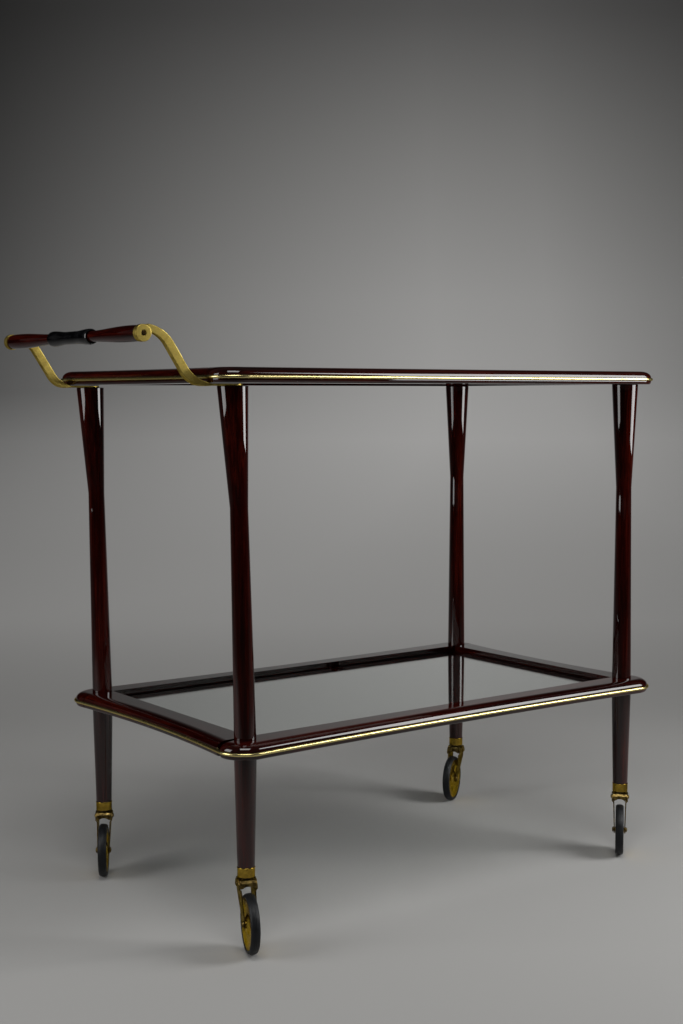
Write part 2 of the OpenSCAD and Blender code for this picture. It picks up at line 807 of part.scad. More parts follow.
// Four points where straight lines touch two circles on both sides
function tangent_quad(a, ra, b, rb) =
    let (
        d = b - a,
        dir = atan2(d[1], d[0]),
        half = acos((ra - rb) / norm(d))
    )
    [a + ra * [cos(dir + half), sin(dir + half)], b + rb * [cos(dir + half), sin(dir + half)],
     b + rb * [cos(dir - half), sin(dir - half)], a + ra * [cos(dir - half), sin(dir - half)]];

module fork(c) {
    color(old_brass)
    at_caster(c)
        for (s = [-1, 1])
            difference() {
                intersection() {
                    along_axle(2 * crown_w) {
                        translate([0, ear_z]) circle(r = ear_r);
                        translate([trail, axle_z]) circle(r = eye_r);
                        polygon(tangent_quad([0, ear_z], ear_r, [trail, axle_z], eye_r));
                    }
                    along_trail(4 * trail) polygon([for (p = plate_section) [s * p[0], p[1]]]);
                }
                translate([0, s * crown_w / 2, rivet_z])
                    rotate([90, 0, 0]) cylinder(d = rivet_d + 2 * seat_gap, h = crown_w / 2, center = true);
                translate([trail, s * crown_w / 2, axle_z])
                    rotate([90, 0, 0]) cylinder(d = axle_d + 2 * seat_gap, h = crown_w, center = true);
            }
}

// Domed head of a rivet or axle, drawn upwards along Z from the face that it holds
module dome(d, h) {
    steps = 8;
    rotate_extrude()
        polygon(concat(
            [[0, 0]],
            [for (i = [0 : steps]) let (a = 90 * i / steps) [d / 2 * cos(a), h * (0.15 + 0.85 * sin(a))]],
            [[0, 0]]
        ));
}

module rivets(c) {
    color(old_brass)
    at_caster(c)
        for (s = [-1, 1])
            translate([0, s * (crown_w / 2 + plate_t), rivet_z])
                rotate([-s * 90, 0, 0]) {
                    translate([0, 0, -plate_t - rivet_in]) cylinder(d = rivet_d, h = plate_t + rivet_in + 0.2);
                    dome(6.4, 1.8);
                }
}

module axle(c) {
    face = plate_axle_in + plate_t + 0.12;
    color(brass)
    at_caster(c)
        translate([trail, 0, axle_z])
            rotate([90, 0, 0]) {
                cylinder(d = axle_d, h = 2 * face + 0.4, center = true);
                for (s = [-1, 1])
                    translate([0, 0, s * face]) rotate([s < 0 ? 180 : 0, 0, 0]) dome(8.4, 2.6);
            }
}

// Places its child, turned about Z, on a caster's axle
module on_axle(c) {
    at_caster(c) translate([trail, 0, axle_z]) rotate([90, 0, 0]) children();
}

hub_r = 5;
rim_in = tyre_w / 2 - 1.8;
disc_t = 1;
dish_in = 2.4;
disc_r = disc_d / 2;
// Widths of a disc's flat rim, of the slope inside it, and of the tyre's web between both rims
rim_w = 4;
rim_slope_w = 5;
web_w = rim_w - 0.2;
// Radial gap between the discs and the tyre's cheeks, and height of its shoulder above them
cheek_gap = 0.1;
shoulder_up = 1.2;
// Section of one pressed disc: radius and height along the axle
disc_inner_face = [
    [hub_r + seat_gap, hub_half - 1.5], [hub_r + 3.2, hub_half - 1.5], [hub_r + 8, dish_in],
    [disc_r - rim_w - rim_slope_w, dish_in], [disc_r - rim_w, rim_in], [disc_r, rim_in]
];

module wheel(c) {
    n = len(disc_inner_face) - 1;
    color(brass)
    on_axle(c) {
        difference() {
            cylinder(r = hub_r, h = 2 * hub_half, center = true);
            cylinder(r = axle_d / 2 + run_gap, h = 2 * hub_half + over, center = true);
        }
        for (s = [-1, 1])
            rotate_extrude()
                polygon(concat(
                    [for (p = disc_inner_face) [p[0], s * p[1]]],
                    [for (i = [n : -1 : 0]) [disc_inner_face[i][0], s * (disc_inner_face[i][1] + disc_t)]]
                ));
    }
}

module tyre(c) {
    steps = 16;
    shoulder_r = disc_r + shoulder_up;
    cheek_r = disc_r + cheek_gap;
    cheek = rim_in + disc_t;
    web = rim_in - seat_gap;
    color(rubber)
    on_axle(c)
        rotate_extrude()
            polygon(concat(
                [[disc_r - web_w, -web], [cheek_r, -web], [cheek_r, -cheek]],
                [for (i = [0 : steps]) let (a = -90 + 180 * i / steps)
                    [shoulder_r + (wheel_d / 2 - shoulder_r) * pow(cos(a), 0.8), tyre_w / 2 * sin(a)]],
                [[cheek_r, cheek], [cheek_r, web], [disc_r - web_w, web]]
            ));
}

for (f = [-1, 1]) {
    side = f < 0 ? "front" : "back";
    long_rail(0, f);
    long_rail(1, f);
    handle_arm(f);
    grip_half(f);
}
for (s = [-1, 1]) {
    end = s < 0 ? "handle_end" : "far_end";
    end_rail(0, s);
    end_rail(1, s);
}
for (c = CORNERS) {
    spindle(c);
    foot(c);
    stem(c);
    crown(c);
    fork(c);
    rivets(c);
    axle(c);
    wheel(c);
    tyre(c);
}
tray_bead(0);  // lower_bead
tray_bead(1);  // top_bead
tray_glass(0);  // lower_glass
tray_glass(1);  // top_glass
leg_studs();
ferrules();
stem_sockets();
grip_sleeve();
grip_rod();
grip_screws();
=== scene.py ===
"""Looks of the two-tier serving trolley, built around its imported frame.

The trays, legs, handle and casters are modelled again here with fine sections and soft
edges, each in the place of its CAD node. Sizes are in millimetres unless a name says
otherwise, and turn to metres only where a mesh is made.
"""

import json
import logging
import math
from dataclasses import dataclass, field
from enum import Enum
from typing import Iterable, Optional, Sequence, Union

import bmesh
import bpy
from bpy.types import Material, Node, NodeTree
from mathutils import Matrix, Vector

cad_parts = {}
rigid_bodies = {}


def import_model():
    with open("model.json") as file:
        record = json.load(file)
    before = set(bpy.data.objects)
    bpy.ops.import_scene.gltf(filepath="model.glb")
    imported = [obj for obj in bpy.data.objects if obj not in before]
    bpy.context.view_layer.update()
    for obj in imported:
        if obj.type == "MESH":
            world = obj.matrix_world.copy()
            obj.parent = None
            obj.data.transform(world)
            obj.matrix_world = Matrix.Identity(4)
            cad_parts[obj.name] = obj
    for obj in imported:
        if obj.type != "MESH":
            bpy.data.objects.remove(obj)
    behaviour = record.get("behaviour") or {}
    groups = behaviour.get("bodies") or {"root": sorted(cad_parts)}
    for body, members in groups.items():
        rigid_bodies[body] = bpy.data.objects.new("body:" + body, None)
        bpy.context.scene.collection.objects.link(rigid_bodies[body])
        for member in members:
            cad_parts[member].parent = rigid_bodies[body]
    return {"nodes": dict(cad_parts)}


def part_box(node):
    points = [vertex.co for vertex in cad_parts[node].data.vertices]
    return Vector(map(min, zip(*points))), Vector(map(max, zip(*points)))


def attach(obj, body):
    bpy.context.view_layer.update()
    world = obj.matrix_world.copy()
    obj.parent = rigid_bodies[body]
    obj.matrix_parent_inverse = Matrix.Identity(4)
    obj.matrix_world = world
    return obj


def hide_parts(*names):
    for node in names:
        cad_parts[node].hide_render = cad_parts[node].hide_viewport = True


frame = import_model()

LOG = logging.getLogger("trolley")
MM = 0.001
# Where the feet stand in plan, in millimetres from the trolley's middle
FOOT_X, FOOT_Y = 334.0, 188.0
Point2 = tuple[float, float]
Point3 = tuple[float, float, float]
Shell = tuple[list[Point3], list[tuple[int, ...]]]
Socket = bpy.types.NodeSocket
Colour = Union[str, Socket]
MeshObject = bpy.types.Object


# Colour and shader nodes


def linear(code: str) -> tuple[float, float, float, float]:
    """Turns an sRGB hex code into a linear colour with full alpha.

    Args:
        code: The colour, such as "#3a0d08".

    Returns:
        Red, green, blue and alpha.
    """
    parts = [int(code[i:i + 2], 16) / 255 for i in (1, 3, 5)]
    return tuple(c / 12.92 if c <= 0.04045 else ((c + 0.055) / 1.055) ** 2.4 for c in parts) + (1.0,)


def fill(node: Node, inputs: dict) -> None:
    """Links or fills a node's inputs.

    Args:
        node: The node.
        inputs: Input name or index to a socket to link from, to a hex colour or to a value.
    """
    for key, value in inputs.items():
        if isinstance(value, Socket):
            node.id_data.links.new(value, node.inputs[key])
        else:
            node.inputs[key].default_value = linear(value) if isinstance(value, str) else value


def add_node(tree: NodeTree, kind: str, inputs: Optional[dict] = None, **settings) -> Node:
    """Adds a shader node with its settings, and links or fills its inputs.

    Args:
        tree: The node tree that gets the node.
        kind: The node's Blender type, without its ShaderNode.
        inputs: What the inputs get, as fill takes it.
        **settings: Attributes of the node itself.

    Returns:
        The new node.
    """
    node = tree.nodes.new(f"ShaderNode{kind}")
    for key, value in settings.items():
        setattr(node, key, value)
    fill(node, inputs or {})
    return node


def compute(operation: str, first: Socket, second: Union[float, Socket] = 0.0) -> Socket:
    """The result of a Math node."""
    return add_node(first.id_data, "Math", {0: first, 1: second}, operation=operation).outputs[0]


def remap(value: Socket, low: float, high: float, to_low: float = 0.0, to_high: float = 1.0) -> Socket:
    """Stretches a range of a value onto another and clamps it.

    Args:
        value: The socket to remap.
        low: Value that becomes to_low.
        high: Value that becomes to_high.
        to_low: Result at low.
        to_high: Result at high.

    Returns:
        The result's socket.
    """
    ends = {"From Min": low, "From Max": high, "To Min": to_low, "To Max": to_high}
    return add_node(value.id_data, "MapRange", {"Value": value, **ends}).outputs[0]


def ramp(value: Socket, stops: Sequence[tuple[float, str]]) -> Socket:
    """Turns a value into a colour.

    Args:
        value: The socket to turn.
        stops: Position and hex colour of each stop, in order.

    Returns:
        The colour's socket.
    """
    node = add_node(value.id_data, "ValToRGB", {"Fac": value})
    elements = node.color_ramp.elements
    while len(elements) < len(stops):
        elements.new(0.5)
    for element, (position, code) in zip(elements, stops):
        element.position = position
        element.color = linear(code)
    return node.outputs[0]


def mix(share: Socket, first: Colour, second: Colour) -> Socket:
    """Blends two colours, with a share of the second one."""
    inputs = {"Factor": share, "A": first, "B": second}
    return add_node(share.id_data, "Mix", inputs, data_type="RGBA").outputs[2]


def bump(height: Socket, strength: float, depth: float, invert: bool = False) -> Socket:
    """A normal bumped by a height, with its depth in millimetres."""
    inputs = {"Strength": strength, "Distance": depth * MM, "Height": height}
    return add_node(height.id_data, "Bump", inputs, invert=invert).outputs[0]


def noise(place: Socket, size: float, detail: float, roughness: float = 0.5) -> Socket:
    """Noise in space.

    Args:
        place: Coordinates in metres.
        size: Width of its patches in millimetres.
        detail: Octaves of finer noise.
        roughness: How strong each finer octave is beside the one before.

    Returns:
        The noise's value socket.
    """
    inputs = {"Vector": place, "Scale": 1000 / size, "Detail": detail, "Roughness": roughness}
    return add_node(place.id_data, "TexNoise", inputs).outputs[0]


class Along(Enum):
    """Direction that wood grain or metal brushing runs in."""

    X = (1, 0, 0)
    Y = (0, 1, 0)
    Z = (0, 0, 1)


def streaks(place: Socket, size: float, along: Along, stretch: float, detail: float) -> Socket:
    """Noise drawn out along one direction.

    Args:
        place: Object coordinates.
        size: Width of a streak in millimetres.
        along: The direction that streaks run in.
        stretch: How many times longer than wide a streak is.
        detail: Octaves of finer noise.

    Returns:
        The noise's value socket.
    """
    scale = tuple(1 / stretch if axis else 1.0 for axis in along.value)
    drawn = add_node(place.id_data, "Mapping", {"Vector": place, "Scale": scale})
    return noise(drawn.outputs[0], size, detail, 0.55)


def new_material(name: str) -> tuple[Material, Node, Socket]:
    """Makes a material with only its shader and output.

    Args:
        name: What the material is.

    Returns:
        The material, its Principled shader and the object coordinates' socket.
    """
    material = bpy.data.materials.new(name)
    material.use_nodes = True
    tree = material.node_tree
    tree.nodes.clear()
    shader = add_node(tree, "BsdfPrincipled")
    add_node(tree, "OutputMaterial", {"Surface": shader.outputs[0]})
    return material, shader, add_node(tree, "TexCoord").outputs["Object"]


@dataclass(frozen=True)
class LacqueredMahogany:
    """Mahogany under a thick glossy lacquer: nearly black, and red where light gets in."""

    dark: str = "#100201"
    middle: str = "#220402"
    light: str = "#3e0d05"
    pore: str = "#0b0201"
    figure_mm: float = 15.0
    streak_mm: float = 2.2
    # How many times longer than wide the figure, the streaks and the pores are
    stretches: Point3 = (18.0, 30.0, 14.0)
    # Real pores are 0.3 mm wide, too fine to show: they are drawn at 0.9 mm
    pore_mm: float = 0.9
    lacquer_ripple_mm: float = 9.0

    def build(self, name: str, along: Along) -> Material:
        """Makes the material.

        Args:
            name: The material's name.
            along: The grain's direction.

        Returns:
            The material.
        """
        material, shader, place = new_material(name)
        sizes = (self.figure_mm, self.streak_mm, self.pore_mm)
        figure, streak, pores = (
            streaks(place, size, along, stretch, detail)
            for size, stretch, detail in zip(sizes, self.stretches, (2.0, 4.0, 1.0))
        )
        ripple = noise(place, self.lacquer_ripple_mm, 2.0)
        blend = add_node(place.id_data, "Mix", {"Factor": 0.5, "A": figure, "B": streak}, data_type="FLOAT")
        tone = ramp(blend.outputs[0], [(0.36, self.dark), (0.5, self.middle), (0.66, self.light)])
        fill(shader, {
            "Base Color": mix(remap(pores, 0.6, 0.7, 0.0, 0.75), tone, self.pore),
            "Roughness": remap(streak, 0.3, 0.7, 0.5, 0.38),
            "Normal": bump(pores, 0.12, 0.1, invert=True),
            "Coat Normal": bump(ripple, 0.06, 0.08),
            # The lacquer fills the pores, so light mirrors off its face and hardly off the wood
            "Specular IOR Level": 0.0,
            "Coat Weight": 1.0,
            "Coat Roughness": 0.025,
            "Coat IOR": 1.5,
        })
        return material


@dataclass(frozen=True)
class Brass:
    """Brass with uneven tarnish and fine rubbing marks."""

    clean: str
    tarnished: str
    smooth: float
    dull: float
    # Colour that the metal mirrors where it is seen nearly edge on
    edge: str = "#ead8a0"
    tarnish_share: float = 0.5
    patch_mm: float = 22.0
    # Rubbing marks are 0.05 mm wide on the real thing: they are drawn at 0.5 mm
    mark_mm: float = 0.5
    mark_stretch: float = 40.0

    def build(self, name: str, along: Along) -> Material:
        """Makes the material.

        Args:
            name: The material's name.
            along: The direction that rubbing marks run in.

        Returns:
            The material.
        """
        material, shader, place = new_material(name)
        patch = noise(place, self.patch_mm, 5.0, 0.65)
        marks = streaks(place, self.mark_mm, along, self.mark_stretch, 2.0)
        middle = 1 - self.tarnish_share
        tarnish = remap(patch, middle - 0.12, middle + 0.14)
        worn = compute("ADD", tarnish, remap(marks, 0.35, 0.65, -0.15, 0.15))
        fill(shader, {
            "Base Color": mix(tarnish, self.clean, self.tarnished),
            "Roughness": remap(worn, 0.0, 1.0, self.smooth, self.dull),
            "Normal": bump(marks, 0.03, 0.02),
            "Metallic": 1.0,
            "Specular Tint": self.edge,
        })
        return material


@dataclass(frozen=True)
class TyreRubber:
    """Vulcanised rubber, greyed by age and floor dust."""

    fresh: str = "#060709"
    dusty: str = "#121418"
    dust_mm: float = 6.0
    grit_mm: float = 0.8

    def build(self, name: str) -> Material:
        """Makes the material.

        Args:
            name: The material's name.

        Returns:
            The material.
        """
        material, shader, place = new_material(name)
        dust = noise(place, self.dust_mm, 6.0)
        fill(shader, {
            "Base Color": mix(remap(dust, 0.35, 0.7), self.fresh, self.dusty),
            "Roughness": remap(dust, 0.3, 0.7, 0.36, 0.6),
            "Specular IOR Level": 0.3,
            "Normal": bump(noise(place, self.grit_mm, 2.0), 0.25, 0.1),
        })
        return material


@dataclass(frozen=True)
class PolishedResin:
    """Black moulded resin, polished by hands."""

    colour: str = "#040405"
    hazy: str = "#0b0b0d"
    haze_mm: float = 12.0

    def build(self, name: str) -> Material:
        """Makes the material.

        Args:
            name: The material's name.

        Returns:
            The material.
        """
        material, shader, place = new_material(name)
        haze = noise(place, self.haze_mm, 4.0)
        fill(shader, {
            "Base Color": mix(remap(haze, 0.4, 0.7), self.colour, self.hazy),
            "Roughness": remap(haze, 0.3, 0.7, 0.1, 0.24),
        })
        return material


@dataclass(frozen=True)
class FloatGlass:
    """Clear float glass: light passes through it, and it mirrors the room at a shallow angle."""

    tint: str = "#f4f9f7"
    smudge_mm: float = 60.0
    index: float = 1.52

    def build(self, name: str) -> Material:
        """Makes the material.

        Args:
            name: The material's name.

        Returns:
            The material.
        """
        material, shader, place = new_material(name)
        fill(shader, {
            "Roughness": remap(noise(place, self.smudge_mm, 4.0), 0.5, 0.8, 0.0, 0.04),
            "Base Color": self.tint,
            "Transmission Weight": 1.0,
            "IOR": self.index,
        })
        return material


@dataclass(frozen=True)
class TurnedSteel:
    """Plain turned steel of the hidden fittings, with fine rings from the lathe."""

    colour: str = "#8b8d90"
    ring_mm: float = 0.6

    def build(self, name: str) -> Material:
        """Makes the material.

        Args:
            name: The material's name.

        Returns:
            The material.
        """
        material, shader, place = new_material(name)
        # A stretch under 1 packs the noise along Z, so that it rings the piece
        rings = streaks(place, self.ring_mm, Along.Z, 0.1, 2.0)
        fill(shader, {
            "Roughness": remap(rings, 0.3, 0.7, 0.28, 0.45),
            "Base Color": self.colour,
            "Metallic": 1.0,
        })
        return material


class Finishes:
    """Every finish of the trolley, made once."""

    def __init__(self) -> None:
        """Builds the materials."""
        runs = {Along.X: "lengthwise", Along.Y: "crosswise", Along.Z: "upright"}
        wood = LacqueredMahogany()
        self.mahogany = {along: wood.build(f"lacquered_mahogany_{run}", along) for along, run in runs.items()}
        self.bead_brass = Brass(
            "#d6c78a", "#a39257", smooth=0.24, dull=0.34, tarnish_share=0.35
        ).build("drawn_brass", Along.X)
        self.arm_brass = Brass(
            "#d2ba62", "#94803f", smooth=0.3, dull=0.44, patch_mm=13.0
        ).build("forged_brass", Along.X)
        self.ferrule_brass = Brass(
            "#b3943a", "#5f4b1c", smooth=0.12, dull=0.24
        ).build("turned_brass", Along.Z)
        self.wheel_brass = Brass(
            "#cfae48", "#86702a", smooth=0.18, dull=0.32, patch_mm=14.0
        ).build("pressed_brass", Along.Z)
        self.fork_brass = Brass(
            "#8a7544", "#3b2f18", smooth=0.26, dull=0.5, tarnish_share=0.55, patch_mm=6.0
        ).build("aged_brass", Along.Z)
        self.screw_brass = Brass(
            "#5c4a2c", "#1f170c", smooth=0.22, dull=0.5, tarnish_share=0.6, patch_mm=5.0
        ).build("blackened_brass", Along.Z)
        self.rubber = TyreRubber().build("vulcanised_rubber")
        self.resin = PolishedResin().build("polished_black_resin")
        self.glass = FloatGlass().build("float_glass")
        self.steel = TurnedSteel().build("turned_steel")
        self.dark_steel = TurnedSteel("#3a352d").build("browned_steel")


# Mesh making


def make_object(
    name: str, shell: Shell, material: Material, sharp_deg: float = 32.0
) -> MeshObject:
    """Makes a mesh object from points in millimetres.

    Args:
        name: The object's name.
        shell: Points in the row frame, in millimetres, and faces as indices into them.
        material: Its only material.
        sharp_deg: Edges sharper than this angle stay crisp.

    Returns:
        The new object.
    """
    weld = 0.002 * MM
    mesh = bpy.data.meshes.new(name)
    mesh.from_pydata([tuple(c * MM for c in p) for p in shell[0]], [], shell[1])
    body = bmesh.new()
    body.from_mesh(mesh)
    bmesh.ops.remove_doubles(body, verts=body.verts, dist=weld)
    bmesh.ops.dissolve_degenerate(body, edges=body.edges, dist=weld)
    bmesh.ops.recalc_face_normals(body, faces=body.faces)
    body.to_mesh(mesh)
    body.free()
    mesh.shade_smooth()
    mesh.set_sharp_from_angle(angle=math.radians(sharp_deg))
    mesh.materials.append(material)
    item = bpy.data.objects.new(name, mesh)
    bpy.context.scene.collection.objects.link(item)
    # Flat faces keep their own shading right up to the small rounds beside them
    item.modifiers.new("even_shading", "WEIGHTED_NORMAL").keep_sharp = True
    return item


def spaced(start: float, stop: float, steps: int) -> list[float]:
    """Evenly spaced values, with both ends."""
    return [start + (stop - start) * i / steps for i in range(steps + 1)]


def loft(rings: Sequence[Sequence[Point3]], closed: bool) -> Shell:
    """Joins rings of equal length into a skin.

    Args:
        rings: Closed rings of points, in order.
        closed: Whether the last ring joins the first. If not, both ends are capped.

    Returns:
        Points and faces.
    """
    count = len(rings[0])
    points = [p for ring in rings for p in ring]
    faces: list[tuple[int, ...]] = []
    pairs = len(rings) if closed else len(rings) - 1
    for i in range(pairs):
        low, high = i * count, (i + 1) % len(rings) * count
        for j in range(count):
            k = (j + 1) % count
            faces.append((low + j, low + k, high + k, high + j))
    if not closed:
        faces.append(tuple(range(count - 1, -1, -1)))
        faces.append(tuple(range((len(rings) - 1) * count, len(rings) * count)))
    return points, faces


def turned(profile: Sequence[Point2], place: Matrix, steps: int = 72) -> Shell:
    """Turns a closed profile of radius and height around Z and puts it in place.

    Args:
        profile: Radius and height of each point. A point on the axis ends the profile.
        place: Where the turned piece's own Z axis goes, in millimetres.
        steps: Facets around.

    Returns:
        Points and faces.
    """
    rings = []
    for a in spaced(0.0, 2 * math.pi, steps)[:-1]:
        rings.append([tuple(place @ Vector((r * math.cos(a), r * math.sin(a), z))) for r, z in profile])
    return loft(rings, True)


def joined(shells: Iterable[Shell]) -> Shell:
    """Puts several shells into one list of points and faces.

    Args:
        shells: Points and faces of each shell.

    Returns:
        All the points and faces.
    """
    points: list[Point3] = []
    faces: list[tuple[int, ...]] = []
    for shell_points, shell_faces in shells:
        start = len(points)
        points += shell_points
        faces += [tuple(i + start for i in f) for f in shell_faces]
    return points, faces


def rounded(corners: Sequence[tuple[float, float, float]], steps: int = 5) -> list[Point2]:
    """Rounds the corners of an open or closed line.

    Args:
        corners: Two coordinates and the rounding radius of each corner. The first and last
            corners stay as they are.
        steps: Pieces that each rounding has.

    Returns:
        The line's points.
    """
    out: list[Point2] = [(corners[0][0], corners[0][1])]
    for i in range(1, len(corners) - 1):
        here = Vector(corners[i][:2])
        radius = corners[i][2]
        to_last = Vector(corners[i - 1][:2]) - here
        to_next = Vector(corners[i + 1][:2]) - here
        if radius <= 0 or to_last.length < 1e-6 or to_next.length < 1e-6:
            out.append(tuple(here))
            continue
        reach = min(radius, to_last.length * 0.49, to_next.length * 0.49)
        first, last = here + to_last.normalized() * reach, here + to_next.normalized() * reach
        for k in range(steps + 1):
            t = k / steps
            out.append(tuple(first * (1 - t) ** 2 + here * 2 * t * (1 - t) + last * t ** 2))
    out.append((corners[-1][0], corners[-1][1]))
    return out


def settle(item: MeshObject, body: str, slot: str, *nodes: str) -> None:
    """Puts a piece on its body, in the place of its CAD nodes.

    Args:
        item: The piece.
        body: The body that it rides on.
        slot: Not used.
        *nodes: CAD nodes that it stands for.
    """
    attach(item, body)
    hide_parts(*nodes)
    LOG.info("%s: %d faces, for %s", item.name, len(item.data.polygons), ", ".join(nodes))


def upright(x: float, y: float, z: float = 0.0) -> Matrix:
    """Placement of a piece whose axis is vertical, in millimetres."""
    return Matrix.Translation((x, y, z))


def lying(side: int) -> Matrix:
    """Turn of a piece whose own Z axis goes along Y, to the front for -1 and the back for 1."""
    return Matrix.Rotation(-side * math.pi / 2, 4, "X")


# The trolley


@dataclass
class Station:
    """A place on a tray's outline: the nose of the bead there, and the way in."""

    nose: Vector
    inward: Vector

    def at(self, inset: float) -> Vector:
        """The point at a distance in from the nose."""
        return self.nose + self.inward * inset


@dataclass
class Tray:
    """A tray: four rails with a moulded edge, the bead let into it, and a sunk glass panel."""

    name: str
    thickness: float = 19.0
    corner_r: float = 36.0
    bow_long: float = 8.0
    bow_end: float = 10.5
    rail_w: float = 41.0
    round_w: float = 14.5
    lower_round_w: float = 2.8
    bead_up: float = 7.3
    bead_d: float = 4.4
    bead_tongue: float = 3.0
    # How far the wood's face stands back behind the bead's middle, and the tongue's play in its groove
    bead_set: float = 0.3
    play: float = 0.05
    glass_drop: float = 8.2
    glass_th: float = 4.0
    glass_arris: float = 0.6
    ledge_w: float = 8.0
    arris: float = 0.9
    corner_steps: int = 26
    side_steps: int = 36

    def __post_init__(self) -> None:
        """Reads the tray's place and reach from the frame."""
        low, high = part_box(f"{self.name}_bead")
        rail_low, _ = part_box(f"{self.name}_rail_front")
        self.middle_x = (low.x + high.x) / 2 / MM
        self.half_len = (high.x - low.x) / 2 / MM
        self.half_wid = (high.y - low.y) / 2 / MM
        self.z = rail_low.z / MM
        self.inner_x = self.half_len - self.bow_end - self.rail_w
        self.inner_y = self.half_wid - self.bow_long - self.rail_w

    def side(self, reach: float, bow: float) -> tuple[float, float]:
        """Radius of a side's arc, and half the angle that it spans.

        Args:
            reach: Half the tray's size along that side.
            bow: How far the side bows inwards.

        Returns:
            The radius in millimetres and the angle in radians.
        """
        far = ((reach - self.corner_r) ** 2 + bow ** 2) / (2 * bow)
        return far - self.corner_r, math.asin((reach - self.corner_r) / far)

    def outline(self) -> list[Station]:
        """Stations all around the tray, anticlockwise from the middle of the far end."""
        long_r, long_a = self.side(self.half_len, self.bow_long)
        end_r, end_a = self.side(self.half_wid, self.bow_end)
        stations: list[Station] = []

        def arc(centre: Vector, radius: float, start: float, stop: float, steps: int, way: float) -> None:
            """Adds an arc's stations, without its last one."""
            for angle in spaced(start, stop, steps)[:-1]:
                ray = Vector((math.cos(angle), math.sin(angle)))
                stations.append(Station(centre + ray * radius, ray * way))

        for quarter in range(4):
            ends = quarter % 2 == 0
            turn = quarter * math.pi / 2
            spin = Matrix.Rotation(turn, 2)
            end = (self.half_len, self.bow_end, end_r, end_a)
            long = (self.half_wid, self.bow_long, long_r, long_a)
            (reach, bow, radius, angle), (across, *_, next_angle) = (end, long) if ends else (long, end)
            arc(spin @ Vector((reach - bow + radius, 0)), radius, turn + math.pi + angle,
                turn + math.pi - angle, self.side_steps, 1.0)
            arc(spin @ Vector((reach - self.corner_r, across - self.corner_r)), self.corner_r,
                turn - angle, turn + math.pi / 2 + next_angle, self.corner_steps, -1.0)
        return stations

    def edge(self) -> list[Point2]:
        """Section of the moulded edge, from the underside to the flat top: inset and height."""
        bead_r = self.bead_d / 2
        face = bead_r + self.bead_set
        back = face + self.bead_tongue
        low, high = self.bead_up - bead_r, self.bead_up + bead_r
        lower = [
            (face + self.lower_round_w * (1 - math.sin(a)), low * (1 - math.cos(a)))
            for a in spaced(0.0, math.pi / 2, 8)
        ]
        upper = [
            (face + self.round_w * (1 - math.cos(a)), high + (self.thickness - high) * math.sin(a))
            for a in spaced(0.0, math.pi / 2, 18)
        ]
        return lower + [(back, low), (back, high)] + upper

    def inner_point(self, nose: Vector, inset: float, lengthwise: bool) -> Vector:
        """Plan point of a rail's inner side, opposite a place on the outline.

        Args:
            nose: The place on the outline.
            inset: How far the inner side lies in from the rail's wall.
            lengthwise: Whether it is a long rail. If not, it is an end rail.

        Returns:
            The point.
        """
        x, y = self.inner_x - inset, self.inner_y - inset
        if lengthwise:
            return Vector((max(-x, min(x, nose.x)), math.copysign(y, nose.y)))
        return Vector((math.copysign(x, nose.x), max(-y, min(y, nose.y))))

    def rail_ring(self, station: Station, lengthwise: bool) -> list[Point3]:
        """Closed section of a rail at a station.

        Args:
            station: The place on the outline.
            lengthwise: Whether it is a long rail.

        Returns:
            The section's points.
        """
        wall = self.inner_point(station.nose, 0.0, lengthwise)
        ledge = self.inner_point(station.nose, self.ledge_w, lengthwise)
        ledge_top = self.thickness - self.glass_drop - self.glass_th
        out = [(*station.at(inset), z) for inset, z in self.edge()]
        back = (Vector(out[-1][:2]) - wall).normalized() * self.arris
        for a in spaced(0.0, math.pi / 2, 4):
            out.append((*(wall + back * (1 - math.sin(a))), self.thickness - self.arris * (1 - math.cos(a))))
        out += [(*wall, ledge_top), (*ledge, ledge_top), (*ledge, 0.0)]
        return [(x + self.middle_x, y, z + self.z) for x, y, z in out]

    def bead_ring(self, station: Station) -> list[Point3]:
        """Closed section of the bead at a station."""
        bead_r = self.bead_d / 2
        half = bead_r - self.play
        back = bead_r + self.bead_set + self.bead_tongue - self.play
        section = [(back, self.bead_up - half), (back, self.bead_up + half)]
        for a in spaced(math.pi / 2, -math.pi / 2, 14):
            section.append((bead_r * (1 - math.cos(a)), self.bead_up + half * math.sin(a)))
        shift = Vector((self.middle_x, 0))
        return [(*(station.at(inset) + shift), z + self.z) for inset, z in section]

    def build(self, finishes: Finishes) -> None:
        """Builds the rails, bead and glass.

        Args:
            finishes: The trolley's finishes.
        """
        stations = self.outline()
        skin = loft([self.bead_ring(s) for s in stations], True)
        bead = make_object(f"{self.name}_tray_bead", skin, finishes.bead_brass)
        settle(bead, "frame", "polished_brass", f"{self.name}_bead")
        self.build_rails(stations, finishes)
        self.build_glass(finishes)

